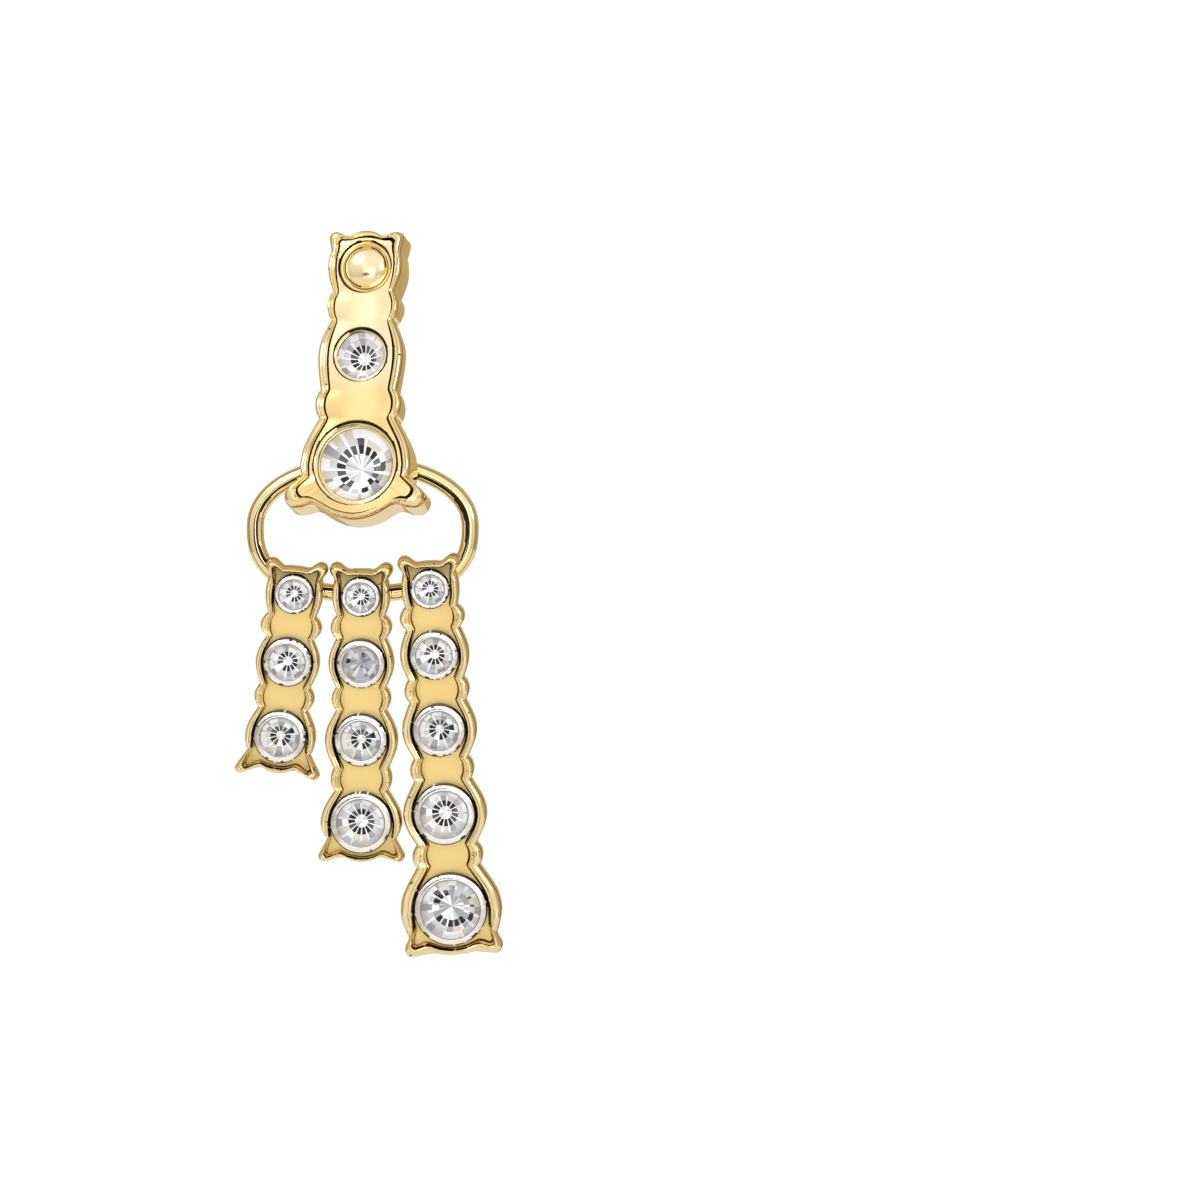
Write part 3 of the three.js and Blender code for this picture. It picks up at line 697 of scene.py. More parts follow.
barPart = {
    "depth": 4.5, "floor": 4.0, "reach": 20.74, "yaw": -8.0, "pitch": -13.0, "stoneSink": 0.6,
    "rimWidth": 1.0, "bumpHalf": 3.72, "bumpLength": 1.5, "floorBump": 2.95, "floorNotch": 2.55,
    "steps": 5, "wave": 0.0, "soften": 14, "seed": 0.4, "specks": 22, "speckBands": (6, 9, 13),
    "litBands": (),
    "arch": (2.7, 17.9, 2.4), "archReach": 15, "archSides": 180, "bailGauge": 0.8,
    "ringDrop": 19.5, "ringOffset": -0.53,
    "stoneRadius": {"small": 2.46, "large": 3.69}, "cupSides": 96, "smoothAngle": 40,
    # The recesses' steps: outward from their edge and back from the floor, or from the stone and its girdle
    "headEdge": [(0.12, -0.01), (0.03, 0.1), (-0.02, 0.25), (-0.1, 0.5), (-0.22, 0.6)], "headShelf": 0.62,
    "cupEdge": [(0.1, -0.35), (0.03, 0.0), (-0.1, 0.22), (-0.24, 0.3), (-0.38, 0.33)],
    "cupSeat": [(0.16, 0.12), (0.05, 0.14), (0.03, 0.3)],
    "turns": {"small": 9, "large": 4}, "looks": {"small": "full", "large": "open"},
    # Painted shade: the floor deepens to a darker gold towards the bottom
    "shade": {"near": 1.5, "far": 4.5, "share": 1.0, "colour": rgb(0.88, 0.66, 0.29)},
    # Dark lines in the recesses, painted shade at their edges and round the post's head and a seam round each
    # stone's seat:
    # from front to back, how wide and at what turns from the right, in degrees
    "edgeLine": {"front": -4.02, "back": -3.65, "wide": 0.3, "narrow": 0.11, "beyond": 0.05,
                 "narrowTurns": (120, 300), "gap": (262, 285)},
    "seamLine": {"front": -3.9, "out": 0.04, "half": 0.03},
    "headLine": {"front": -3.99, "back": -3.6, "in": 0.03, "half": 0.09, "turns": ((-1, 80), (100, 260))},
    "rows": [
        recess(0, 2.77, 0.18, 0.9),
        bump(0.203, 1, 0.86, 0.87),
        recess(0.4505, 2.87, 0.46, 1.11),
        bump(0.7027, 1.21, 1.08, 1.08, 1.16),
        recess(1, 4.46, 0.34, 0.95),
    ],
    "topEnd": {
        "outer": end((0.95, 0.45), (1.02, 0.96), 0.19, (0.5, 0.83), 0.99),
        "inner": end((0.95, 0.45), (0.93, 0.93), 0.16, (0.5, 0.95), 1.02),
    },
    "bottomEnd": {
        "outer": end((0.99, 0.28), (1.27, 0.82), 0.22, (0.73, 0.75), 1.03),
        "inner": end((0.98, 0.3), (1.22, 0.74), 0.15, (0.83, 0.79), 1.09),
    },
    # Rim rows as for the trays: the dark rows are a painted shade line at the floor's edge, the brown rows
    # painted reflection lines
    "rim": [
        (0.08, 0, 0, 0, gold), (0.02, 0.08, 0.08, 0, gold), (0, 0.25, 0.25, 0, gold),
        (0, 3.6, 3.4, 0, gold), (0.01, 3.9, 3.65, 0, brown), (0.05, 4.15, 3.9, 0, gold),
        (0.12, 4.34, 4.12, 0, gold), (0.21, 4.46, 4.3, 0, gold), (0.3, 4.5, 4.42, 0, gold),
        (0.38, 4.46, 4.48, 0, gold), (0.45, 4.38, 4.5, 0, brown), (0.49, 4.38, 4.5, 0, gold),
        (0.55, 4.41, 4.48, 0, gold), (0.62, 4.44, 4.44, 0, gold), (0.68, 4.4, 4.36, 0, gold),
        (0.72, 4.3, 4.25, 0.04, gold), (0.75, 4.15, 4.1, 0.08, gold), (0.77, 3.95, 3.95, 0.11, dark),
        (0.78, 3.6, 3.6, 0.12, dark), (0.97, 3.6, 3.6, 0, dark), (0.98, 3.88, 3.88, 0, plain),
        (1.0, 3.93, 3.93, 0, plain),
    ],
    "floorRows": [(0.94, 3.95), (0.86, 3.99), (0.72, 4.07), (0.5, 4.15), (0.28, 4.19), (0.08, 4.2)],
}
postPart = {
    "headRadius": 2.3, "headHeight": 1.3, "headSide": 1.1, "headSink": 1.9, "radius": 0.45, "length": 10.5,
    "holeGap": 0.3, "holeSides": 32, "headGap": 0.07, "headFloat": 0.15, "headSteps": 18, "sides": 72,
    "smoothAngle": 50,
    # Steps outward and back from the head's back edge and from the pin's tip
    "headRound": [(0, -0.3), (-0.1, -0.1), (-0.3, 0)], "tipRound": [(0, -0.25), (-0.08, -0.08), (-0.2, 0)],
}


# Round cut stones: a drum of radius 1 is cut by the plane of each facet, and its pavilion is then parted
# into a star, a ring of dark wedges and pale outer sectors, painted as reflections

# Radii of the star, the dark wedges' ring and the sectors round it, the wedges' number and half angle in
# degrees, the shares of dark wedges and dark dots, and the seed
def glitter(star, ring, outer, wedges, half, darkShare, dots, seed, **other):
    return {"star": star, "ring": ring, "outer": outer, "wedges": wedges, "half": half, "dark": darkShare,
            "dots": dots, "seed": seed, "tint": (1, 1, 1), "arcs": [(-1, 361)], "ringTones": None,
            "starTones": ["white", "white", "white", "pale", "white"], **other}


sparkle = {
    "fine": glitter(0.25, 0.55, 0.8, 12, 11.5, 0.92, 0.0, 3),
    "bold": glitter(0.22, 0.52, 0.78, 12, 12.0, 0.85, 0.05, 12),
    "full": glitter(0.27, 0.55, 0.8, 14, 10.0, 0.92, 0.06, 8, starTones=["white", "white", "pale"]),
    "dull": glitter(0.3, 0.6, 0.82, 10, 8.0, 0.2, 0.02, 34, tint=(0.68, 0.67, 0.71),
                    starTones=["pale", "grey", "pale", "white", "grey"],
                    ringTones=["pale", "grey", "pale", "white"]),
    "open": glitter(0.4, 0.62, 0.8, 16, 8.0, 0.8, 0.16, 21,
                    starTones=["white", "pale", "grey", "white", "pale"]),
    "split": glitter(0.42, 0.64, 0.8, 16, 8.0, 0.97, 0.16, 21, arcs=[(289, 361), (-1, 40), (168, 245)],
                     starTones=["white", "pale", "grey", "grey", "pale"],
                     ringTones=["white", "pale", "grey", "grey"]),
}
outerTones = {
    "wedge": ["white", "pale", "beige", "grey", "pale"], "between": ["white", "white", "pale"],
    "dots": ["dark", "smoke"], "edge": ["white", "beige", "pale", "white", "grey"],
}
# Tones of the painted reflections on the pavilions
tones = {
    "white": (0.84, 0.84, 0.84), "pale": (0.54, 0.54, 0.55), "grey": (0.32, 0.32, 0.34),
    "beige": (0.62, 0.56, 0.43), "dark": (0.005, 0.005, 0.006), "smoke": (0.08, 0.075, 0.085),
}


def shave(reach, azimuth, slope, up):
    a, s = math.radians(azimuth), math.radians(slope)
    normal = Vector((math.sin(s) * math.cos(a), math.sin(s) * math.sin(a), math.cos(s) * (1 if up else -1)))
    point = Vector((reach[0] * math.cos(a), reach[0] * math.sin(a), reach[1]))
    bpy.ops.mesh.select_all(action="SELECT")
    bpy.ops.mesh.bisect(plane_co=point, plane_no=normal, use_fill=True, clear_outer=True, threshold=1e-6)


def partFacets(normal, point):
    data = bpy.context.object.data
    mesh = bmesh.from_edit_mesh(data)
    below = [face for face in mesh.faces if face.calc_center_median().z < stones["splitBelow"]]
    pieces = set(below)
    for face in below:
        pieces.update(face.verts)
        pieces.update(face.edges)
    bmesh.ops.bisect_plane(mesh, geom=list(pieces), dist=1e-6, plane_co=point, plane_no=normal)
    bmesh.update_edit_mesh(data)


def cutStone(name, look):
    crown, table, pavilion = stones["crown"], stones["table"], stones["pavilion"]
    thick = stones["edgeHalf"]
    deselect()
    bpy.ops.mesh.primitive_cylinder_add(vertices=stones["drumSides"], radius=1, depth=3, location=(0, 0, 0))
    stone = bpy.context.object
    stone.name = name
    bpy.ops.object.mode_set(mode="EDIT")
    crownSlope = math.degrees(math.atan(crown / (1 - table)))
    pavilionSlope = math.degrees(math.atan(pavilion))
    shave((0, crown), 0, 0, True)
    for i in range(8):
        shave((1, 0), 45 * i, crownSlope, True)
    for i in range(8):
        shave((table * math.cos(math.pi / 8), crown), 45 * i + 22.5, crownSlope * stones["starSlope"], True)
    for i in range(16):
        shave((1.0, 0), 22.5 * i + 11.25, crownSlope + stones["girdleSteeper"], True)
    for i in range(8):
        shave((1, -thick), 45 * i + 22.5, pavilionSlope, False)
    for i in range(16):
        slope = pavilionSlope + stones["halvesSteeper"]
        shave((stones["halvesReach"], -thick), 22.5 * i + 11.25, slope, False)
    for ring in ("star", "ring", "outer"):
        partFacets((0, 0, 1), (0, 0, -thick - pavilion * (1 - look[ring])))
    step = 360 / look["wedges"]
    for i in range(look["wedges"] // 2):
        for turn in (-look["half"], look["half"]):
            a = math.radians(i * step + turn)
            partFacets((-math.sin(a), math.cos(a), 0), (0, 0, 0))
    bpy.ops.object.mode_set(mode="OBJECT")

    rand = random.Random(look["seed"])
    deck = {}

    def facetTone(face):
        colour = tones["white"]
        if face.normal.z < -stones["facing"]:
            radius = math.hypot(face.center.x, face.center.y)
            angle = math.degrees(math.atan2(face.center.y, face.center.x)) % 360
            wedge = int((angle + look["half"]) // step) % look["wedges"]
            inWedge = abs((angle + step / 2) % step - step / 2) < look["half"]
            level = "star" if radius < look["star"] else "ring" if radius < look["ring"] else \
                "outer" if radius < look["outer"] else "edge"
            key = (level, wedge, inWedge)
            if key not in deck:
                if level == "star":
                    deck[key] = rand.choice(look["starTones"])
                elif level == "ring":
                    inArc = any(low < angle < high for low, high in look["arcs"])
                    if inWedge and inArc and rand.random() < look["dark"]:
                        deck[key] = "dark" if rand.random() < look["dark"] * stones["blackShare"] else "smoke"
                    else:
                        deck[key] = rand.choice(look["ringTones"]) if look["ringTones"] else "white"
                elif level == "outer":
                    deck[key] = rand.choice(outerTones["wedge" if inWedge else "between"])
                    if rand.random() < look["dots"]:
                        deck[key] = rand.choice(outerTones["dots"])
                else:
                    deck[key] = rand.choice(outerTones["edge"])
            colour = tones[deck[key]]
        return [c * t for c, t in zip(colour, look["tint"])]
    paintTones(stone, facetTone)
    place(stone, spin(90, "X"))
    return stone


patterns = {name: cutStone("pattern_" + name, look) for name, look in sparkle.items()}
print("stones cut")


def newStone(name, radius, turn, look):
    pattern = patterns[look]
    stone = pattern.copy()
    stone.data = pattern.data.copy()
    stone.name = name
    bpy.context.scene.collection.objects.link(stone)
    place(stone, spin(turn, "Y"))
    place(stone, Matrix.Scale(radius * mm, 4))
    paint(stone, ["cutStone", "stonePaintedFacets"], lambda face: int(face.normal.y > stones["facing"]))
    return stone


# Collets

def colletRadius(size):
    return stones["radius"][size] + stones["gap"] + stones["wall"][size]


# The collets' own white and seam, the painted shadow line where each meets the floor, and the painted shade
# on its sides
colletTones = {
    "line": (0.1, 0.09, 0.08), "white": (0.95, 0.95, 0.94), "side": (0.52, 0.48, 0.42),
    "black": (0.02, 0.02, 0.02), "seam": (0.2, 0.19, 0.18),
}
colletPart = {
    "height": -1.05, "sides": 96, "smoothAngle": 50, "wallMiddle": -0.11,
    # Steps outward and back: from the outer edge and the foot or the top, then from the stone and the top
    "foot": [(0.08, 0.0), (0.08, -0.05), (0.07, -0.07)],
    "edge": [(0.07, 0.14), (0.05, 0.1), (0, 0.1), (-0.03, 0.02), (-0.06, -0.02), (-0.2, -0.08)],
    "bore": [(0.07, -0.1), (0.05, -0.07), (-0.02, -0.07), (-0.05, -0.04), (0.04, 0.03)],
    # Where the tones begin and end, in from the outer edge or out from the stone
    "lineIn": 0.035, "gapOut": 0.09, "lineDepth": 0.35, "seamIn": 0.03, "seamOut": 0.06, "dashIn": 0.19,
    # The painted shade on the sides: from which share across, over how much, and how strong left and right
    "sideFrom": 0.62, "sideOver": 0.3, "sideLeft": 1.5, "sideRight": 0.9,
    # Chances of a gap in the line and of a dash, which is likelier at these turns
    "gapChance": 0.05, "dashChance": 0.03, "lowChance": 0.12, "lowTurns": (200, 330),
    "dashLengths": (1, 2, 3),
    "keep": 0.7, "fresh": 0.3, "ripple": 0.06, "rippleTurn": 0.6,
}


# The tone of each face by its place, for the seam, the painted shadow line at the edge, the dashes and the
# painted shade on the sides
def colletTone(radius, outer, r, y, angle, mark):
    part = colletPart
    if r > outer - part["lineIn"] and not (mark["gap"] and r < outer + part["gapOut"]):
        return colletTones["black" if r > outer or y > -part["lineDepth"] else "line"]
    if radius - part["seamIn"] < r < radius + part["seamOut"]:
        return colletTones["seam"]
    if mark["dash"] and r > outer - part["dashIn"]:
        return colletTones["black"]
    side = min(max(abs(math.cos(math.radians(angle))) - part["sideFrom"], 0) / part["sideOver"], 1)
    side = min(side * mark["dull"] * part["sideLeft" if abs(angle - 180) < 90 else "sideRight"], 1)
    return [w + (d - w) * side for w, d in zip(colletTones["white"], colletTones["side"])]


# Where round a collet its painted shadow line has gaps, its edge has dashes and its sides take painted shade
def colletMarks(seed):
    part = colletPart
    rand = random.Random(seed)
    marks = []
    gap = dash = dull = 0
    for i in range(part["sides"]):
        angle = 360 * i / part["sides"]
        gap = gap - 1 if gap else int(rand.random() < part["gapChance"])
        if dash:
            dash -= 1
        else:
            low = part["lowTurns"][0] < angle < part["lowTurns"][1]
            starts = rand.random() < part["lowChance" if low else "dashChance"]
            dash = rand.choice(part["dashLengths"]) if starts else 0
        dull = part["keep"] * dull + part["fresh"] * rand.random() \
            + part["ripple"] * math.sin(i * part["rippleTurn"])
        marks.append({"gap": gap > 0, "dash": dash > 0, "dull": dull})
    return marks


def newCollet(name, size, seed):
    part = colletPart
    radius, outer, top = stones["radius"][size], colletRadius(size), part["height"]
    foot = (radius + part["bore"][-1][0], 0.0)
    profile = [foot] + laidOut(outer, 0, part["foot"])
    profile += laidOut(outer, top, part["edge"])
    profile.append((outer - stones["wall"][size] / 2, top + part["wallMiddle"]))
    profile += laidOut(radius, top, part["bore"]) + [foot]
    collet = turned(name, profile, part["sides"])
    marks = colletMarks(seed)

    def faceTone(face):
        x, y, z = face.center / mm
        angle = math.degrees(math.atan2(z, x)) % 360
        mark = marks[int(angle / 360 * part["sides"]) % part["sides"]]
        return colletTone(radius, outer, math.hypot(x, z), y, angle, mark)
    paintTones(collet, faceTone)
    paint(collet, ["tonedWhite"])
    smooth(collet, part["smoothAngle"])
    return collet


def newDrop(body, spec):
    part = trayPart
    reachBack = bailReach(part["bailGauge"])
    shape = {**part, "bottomEnd": spec["bottomEnd"], "seed": spec["seed"],
             "inner": lambda row: colletRadius(row["stone"]) + part["margin"],
             "finishes": ["polishedGold", "satinGold", "darkLine", "brownLine"]}
    strip = stripLobes(spec["rows"], spec["reach"], shape)
    girdle = -(part["floor"] + part["seatGap"] + part["girdle"])
    tray = rimmedStrip(body + "_tray_gold", strip, shape)
    stations = [row for row in spec["rows"] if "stone" in row]
    for row in stations:
        cutter = pavilionCutter(stones["radius"][row["stone"]], girdle, girdle - clearCut)
        place(cutter, shift(0, 0, -row["at"] * spec["reach"]))
        cut(tray, cutter)
    eye = bailEye(part["bailGauge"])
    place(eye, shift(0, reachBack, spec["hang"]))
    join(tray, eye)

    smooth(tray, part["smoothAngle"])
    hang = (Matrix.Translation(hinges[body]) @ spin(part["lean"], "X")
            @ spin(spec["roll"], "Y")
            @ shift(0, -reachBack, -spec["hang"]))
    down = hang.to_3x3() @ Vector((0, 0, -1))
    shade = [
        shadeSpot(part["topShade"], hang @ Vector((0, 0, 0)), -down),
        shadeSpot(part["bottomShade"], hang @ Vector((0, 0, -spec["reach"] * mm)), down,
                  stones["radius"][spec["rows"][-1]["stone"]]),
    ]
    shadeFloor(tray, body + "Floor", "satinGold", shade)
    place(tray, hang)
    hand(tray, body, "tray_gold", body + "_tray")
    seat = -(part["floor"] + part["colletLift"])
    for i, row in enumerate(stations):
        radius = stones["radius"][row["stone"]]
        down = -row["at"] * spec["reach"]
        collet = newCollet(f"{body}_collet_ring_{i + 1}", row["stone"], i + 10 * spec["seed"])
        place(collet, hang @ shift(0, seat, down))
        hand(collet, body, "white_metal", f"{body}_collet_{i + 1}")
        turn = part["turnStep"] * i + spec["seed"] * part["turnSeed"]
        look = row["look"] or part["looks"][row["stone"]]
        stone = newStone(f"{body}_cut_stone_{i + 1}", radius, turn, look)
        place(stone, hang @ shift(0, girdle, down))
        hand(stone, body, "cut_stone", f"{body}_stone_{i + 1}")


for body, spec in dropParts.items():
    newDrop(body, spec)
print("drops made")


# Hanging ring

def newRing():
    part = ringPart
    centre = hinges["ring"] - Vector((0, 0, part["topHeight"] * mm))
    points = []
    for i in range(part["steps"]):
        angle = 2 * math.pi * (i + 0.5) / part["steps"]
        c, s = math.cos(angle), math.sin(angle)
        power = 2 / (part["topPower"] if s >= 0 else part["bottomPower"])
        height = part["topHeight"] if s >= 0 else part["bottomHeight"]
        points.append(Vector((part["halfWidth"] * math.copysign(abs(c) ** power, c), 0,
                              height * math.copysign(abs(s) ** power, s))))
    rows = []
    for i, point in enumerate(points):
        along = (points[(i + 1) % len(points)] - points[i - 1]).normalized()
        across = Vector((along.z, 0, -along.x))
        row = []
        for j in range(part["sides"]):
            angle = 2 * math.pi * j / part["sides"]
            edge = across * math.cos(angle) + Vector((0, math.sin(angle), 0))
            row.append(centre + (point + edge * part["wireRadius"]) * mm)
        rows.append(row)
    ring = skin("oval_ring", rows, closed=True)
    wide, slow, small, quick = part["waver"]

    # The wire's dark and brown painted reflection lines run along it
    def wireFinish(face):
        i, j = divmod(face.index, part["sides"])
        if 0 <= part["black"] - j < wide + math.sin(i * slow) + small * math.sin(i * quick + 1):
            return dark
        return brown if j in part["brown"] else gold
    paint(ring, ["polishedGold", "softGold", "darkLine", "brownLine"], wireFinish)
    smooth(ring, part["smoothAngle"])
    hand(ring, "ring", "polished_gold", "hanging_ring")


newRing()
print("ring made")


# Ear bar

# A face's depth, its reach from a recess's middle, and its turn about it from the right
def aboutMiddle(face, drop):
    x, y, z = face.center / mm
    return y, math.hypot(x, z + drop), math.degrees(math.atan2(z + drop, x)) % 360


# Painted shade lines at a recess's edge, and a dark seam round its stone's seat
def paintCup(bar, part, row, seam):
    edge, line = part["edgeLine"], part["seamLine"]
    for face in bar.data.polygons:
        y, reach, turn = aboutMiddle(face, row["at"] * part["reach"])
        low, high = edge["narrowTurns"]
        inside = edge["narrow"] if low <= turn <= high else edge["wide"]
        onEdge = row["recess"] - inside < reach < row["recess"] + edge["beyond"]
        if onEdge and edge["front"] < y < edge["back"] and not edge["gap"][0] < turn < edge["gap"][1]:
            face.material_index = dark
        if y > line["front"] and abs(reach - seam - line["out"]) < line["half"]:
            face.material_index = dark


# A painted shade line round the post head's recess
def paintHead(bar, part, wide):
    line = part["headLine"]
    for face in bar.data.polygons:
        y, reach, turn = aboutMiddle(face, 0)
        onLine = line["front"] < y < line["back"] and abs(reach - wide + line["in"]) < line["half"]
        if onLine and any(low < turn < high for low, high in line["turns"]):
            face.material_index = dark


def newPost(body, hold, seat):
    part = postPart
    back = seat - part["headFloat"]
    front = back - part["headSide"]
    big, thin, tip = part["headRadius"], part["radius"], part["length"]
    profile = []
    for i in range(part["headSteps"] + 1):
        angle = math.pi / 2 * i / part["headSteps"]
        profile.append((big * math.sin(angle), front - part["headHeight"] * math.cos(angle)))
    profile += laidOut(big, back, part["headRound"])
    profile.append((thin, back))
    profile += laidOut(thin, tip, part["tipRound"])
    profile.append((0, tip))
    post = turned("ball_post", profile, part["sides"])
    paint(post, ["softGold"])
    smooth(post, part["smoothAngle"])
    place(post, hold)
    hand(post, body, "polished_gold", "ear_post")


def newEarBar():
    body = "ear_piece"
    part = barPart
    shape = {**part, "inner": lambda row: row["recess"] + row["margin"] * part["rimWidth"],
             "finishes": ["polishedGold", "softGold", "darkLine", "brownLine"]}
    strip = stripLobes(part["rows"], part["reach"], shape)
    bar = rimmedStrip("ear_bar_gold", strip, shape)
    start, stop, rise = part["arch"]
    halfChord = (stop - start) / 2
    radius = (halfChord ** 2 + rise ** 2) / (2 * rise)
    across = part["archReach"]
    arch = turned("arch", [(0, -across), (radius, -across), (radius, across), (0, across)], part["archSides"])
    place(arch, shift(0, radius - rise, -(start + halfChord)) @ spin(90, "Z"))
    cut(bar, arch)

    front = -(part["depth"] + clearCut)
    headSeat = -(part["floor"] - postPart["headSink"])
    wide = part["rows"][0]["recess"]
    bore = postPart["headRadius"] + postPart["headGap"]
    profile = [(0, front), (wide + part["headEdge"][0][0], front)]
    profile += laidOut(wide, -part["floor"], part["headEdge"])
    profile += [(bore, part["headShelf"] - part["floor"]), (bore, headSeat), (0, headSeat)]
    cut(bar, turned("recess", profile, part["cupSides"]))
    hole = postPart["radius"] + postPart["holeGap"]
    profile = [(0, front), (hole, front), (hole, clearCut), (0, clearCut)]
    cut(bar, turned("hole", profile, postPart["holeSides"]))
    girdle = -(part["floor"] - part["stoneSink"])
    stoneRows = {"small": part["rows"][2], "large": part["rows"][4]}
    for size, row in stoneRows.items():
        seat = part["stoneRadius"][size] + stones["gap"]
        down = shift(0, 0, -row["at"] * part["reach"])
        profile = [(0, front), (row["recess"] + part["cupEdge"][0][0], front)]
        profile += laidOut(row["recess"], -part["floor"], part["cupEdge"])
        profile += laidOut(seat, girdle, part["cupSeat"])
        profile.append((0, girdle + part["cupSeat"][-1][1]))
        cup = turned("cup", profile, part["cupSides"])
        place(cup, down)
        cut(bar, cup)
        below = pavilionCutter(part["stoneRadius"][size], girdle, girdle)
        place(below, down)
        cut(bar, below)
    reachBack = bailReach(part["bailGauge"])
    eye = bailEye(part["bailGauge"])
    place(eye, shift(part["ringOffset"], reachBack, -part["ringDrop"]) @ spin(-part["yaw"], "Z"))
    join(bar, eye)
    for size, row in stoneRows.items():
        paintCup(bar, part, row, part["stoneRadius"][size] + stones["gap"])
    paintHead(bar, part, wide)
    smooth(bar, part["smoothAngle"])
    hold = spin(part["yaw"], "Z") @ spin(part["pitch"], "X")
    middle = hold @ Vector((0, 0, -stoneRows["small"]["at"] * part["reach"] * mm))
    spot = shadeSpot(part["shade"], middle, hold.to_3x3() @ Vector((0, 0, -1)))
    shadeFloor(bar, "barFloor", "softGold", [spot])
    place(bar, hold)
    hand(bar, body, "polished_gold", "ear_bar")
    for size, row in stoneRows.items():
        stone = newStone(f"ear_bar_cut_stone_{size}", part["stoneRadius"][size], part["turns"][size],
                         part["looks"][size])
        place(stone, hold @ shift(0, girdle, -row["at"] * part["reach"]))
        hand(stone, body, "cut_stone", f"ear_bar_stone_{size}")
    newPost(body, hold, headSeat)


newEarBar()
for pattern in patterns.values():
    bpy.data.objects.remove(pattern)
print("ear bar made")


# Studio

sky = {
    "stops": [
        (0.0, rgb(0.3, 0.29, 0.28)), (0.25, rgb(0.4, 0.39, 0.38)), (0.42, rgb(0.5, 0.49, 0.48)),
        (0.55, rgb(0.6, 0.6, 0.59)), (0.7, rgb(0.7, 0.7, 0.7)), (0.82, rgb(0.8, 0.8, 0.8)),
        (1.0, rgb(0.7, 0.7, 0.7)),
    ],
    "strength": 1.4, "behind": rgb(0.37, 0.28, 0.12), "behindShare": 0.9,
    "behindFrom": (-0.25, 0.55),
    "glow": {"z": -0.02, "innerWide": 0.153, "outerWide": 0.442, "innerHigh": 0.17, "outerHigh": 0.442,
             "colour": rgb(1.35, 1.35, 1.35)},
    "patch": {"x": -0.26, "z": 0.44, "wide": 0.2, "high": 0.14, "inner": 0.4,
              "colour": rgb(0.95, 0.94, 0.97)},
    "edge": {"y": 0.1, "wide": 0.12, "inner": 0.3, "share": 0.85, "colour": rgb(0.05, 0.045, 0.04)},
    "hole": {"x": -0.18, "z": -0.06, "wide": 0.2, "high": 0.12, "inner": 0.85,
             "colour": rgb(0.01, 0.01, 0.012)},
    "outer": 1.2, "seen": rgb(1.05, 1.05, 1.05),
}
lamps = {
    "key": {"place": (-0.62, -0.6, 0.8), "size": 0.4, "power": 3.2},
    "side": {"place": (0.85, -0.6, 0.3), "size": 0.3, "power": 1.6},
    "low": {"place": (-0.5, -0.7, -0.45), "size": 0.16, "power": 0.5},
}
lampAim = Vector((0, 0, -0.03))
floorPlate = {"size": 1.2, "height": -0.2, "cloudScale": 3.0, "roughness": 0.9}


def newFloor():
    deselect()
    bpy.ops.mesh.primitive_plane_add(size=floorPlate["size"], location=(0, 0, floorPlate["height"]))
    floor = bpy.context.object
    floor.name = "pale_floor"
    material, tree = newMaterial("paleFloor")
    tone = tree.mix(tree.noise(floorPlate["cloudScale"]), rgb(0.93, 0.93, 0.93), rgb(0.95, 0.95, 0.95))
    shader = tree.add("BsdfPrincipled", {},
                      {"Base Color": tone, "Roughness": floorPlate["roughness"]})
    tree.surface(shader.out("BSDF"))
    floor.data.materials.append(material)


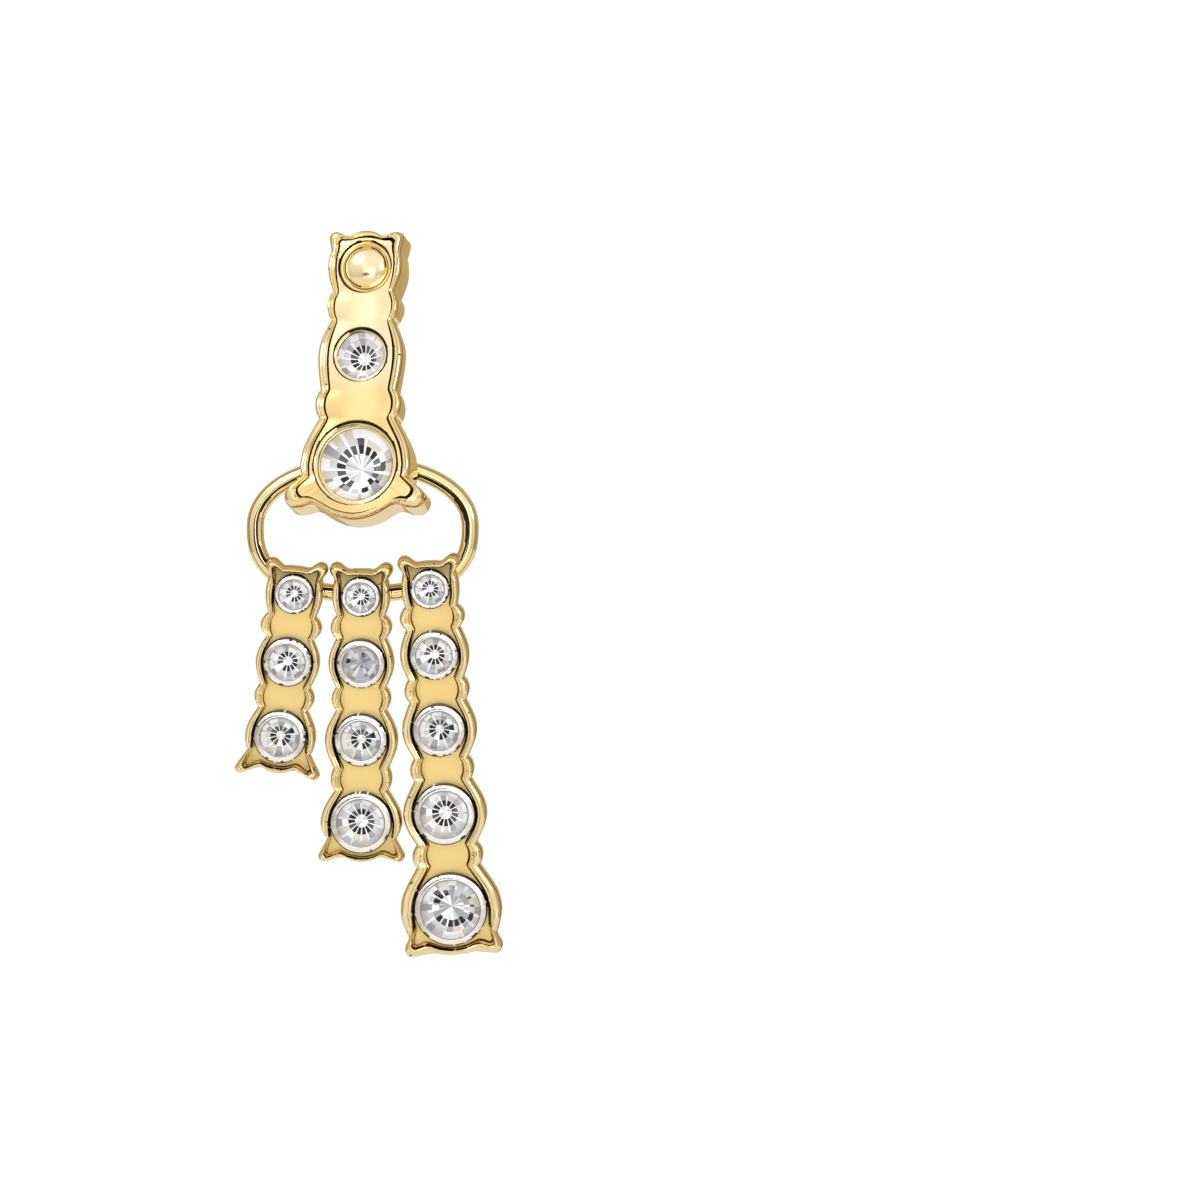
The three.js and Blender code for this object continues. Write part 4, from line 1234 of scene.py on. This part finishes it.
def newWorld():
    world = bpy.data.worlds.new("softStudio")
    bpy.context.scene.world = world
    world.use_nodes = True
    tree = Tree(world.node_tree)
    direction = tree.add("TexCoord").out("Object")
    parts = tree.add("SeparateXYZ", {}, {0: direction})
    x, y, z = parts.out("X"), parts.out("Y"), parts.out("Z")
    tent = tree.add("ValToRGB", {"stops": sky["stops"]}, {0: z * 0.5 + 0.5}).out("Color")
    glow = sky["glow"]
    side = tree.ease(x.math("ABSOLUTE", 0.0), glow["innerWide"], glow["outerWide"], 1.0, 0.0)
    level = tree.ease((z - glow["z"]).math("ABSOLUTE", 0.0), glow["innerHigh"], glow["outerHigh"], 1.0, 0.0)
    tent = tree.mix(side * level * y.math("LESS_THAN", 0.0), tent, glow["colour"])
    behind = tree.ease(y, *sky["behindFrom"])
    tent = tree.mix(behind * sky["behindShare"], tent, sky["behind"])

    def oval(spot):
        across = (x - spot["x"]) * (1 / spot["wide"])
        above = (z - spot["z"]) * (1 / spot["high"])
        reach = (across * across + above * above) ** 0.5
        inside = tree.ease(reach, spot["inner"], sky["outer"], 1.0, 0.0)
        return inside * y.math("LESS_THAN", 0.0)

    tent = tree.mix(oval(sky["patch"]), tent, sky["patch"]["colour"])
    edge = (y - sky["edge"]["y"]) * (1 / sky["edge"]["wide"])
    line = tree.ease(edge * edge, sky["edge"]["inner"], 1.0, sky["edge"]["share"], 0.0)
    tent = tree.mix(line, tent, sky["edge"]["colour"])
    tent = tree.mix(oval(sky["hole"]), tent, sky["hole"]["colour"])
    strong = tree.add("VectorMath", {"operation": "SCALE"},
                      {0: tent, "Scale": sky["strength"]}).out(0)
    seen = tree.add("LightPath").out("Is Camera Ray")
    colour = tree.mix(seen, strong, sky["seen"])
    back = tree.add("Background", {}, {"Color": colour, "Strength": 1.0})
    tree.surface(back.out("Background"), "World")


def newLamps():
    for name, lamp in lamps.items():
        data = bpy.data.lights.new(name, "AREA")
        data.size = lamp["size"]
        data.energy = lamp["power"]
        light = bpy.data.objects.new(name, data)
        bpy.context.scene.collection.objects.link(light)
        light.location = lamp["place"]
        aim = lampAim - light.location
        light.rotation_euler = aim.to_track_quat("-Z", "Y").to_euler()


def newCamera():
    turn = math.radians(view["turn"])
    right = Vector((math.cos(turn), math.sin(turn), 0))
    forward = Vector((-math.sin(turn), math.cos(turn), 0))
    centre = right * view["centreAcross"] + Vector((0, 0, view["centreUp"])) + forward * view["depth"]
    data = bpy.data.cameras.new("camera")
    data.sensor_width = view["sensor"]
    data.lens = view["sensor"] * view["distance"] / view["frameWidth"]
    data.clip_end = view["clipEnd"]
    camera = bpy.data.objects.new("camera", data)
    bpy.context.scene.collection.objects.link(camera)
    camera.location = centre - forward * view["distance"]
    camera.rotation_euler = forward.to_track_quat("-Z", "Y").to_euler()
    bpy.context.scene.camera = camera
    bpy.context.scene.view_settings.view_transform = "Standard"


newFloor()
newWorld()
newLamps()
newCamera()
print("studio made")
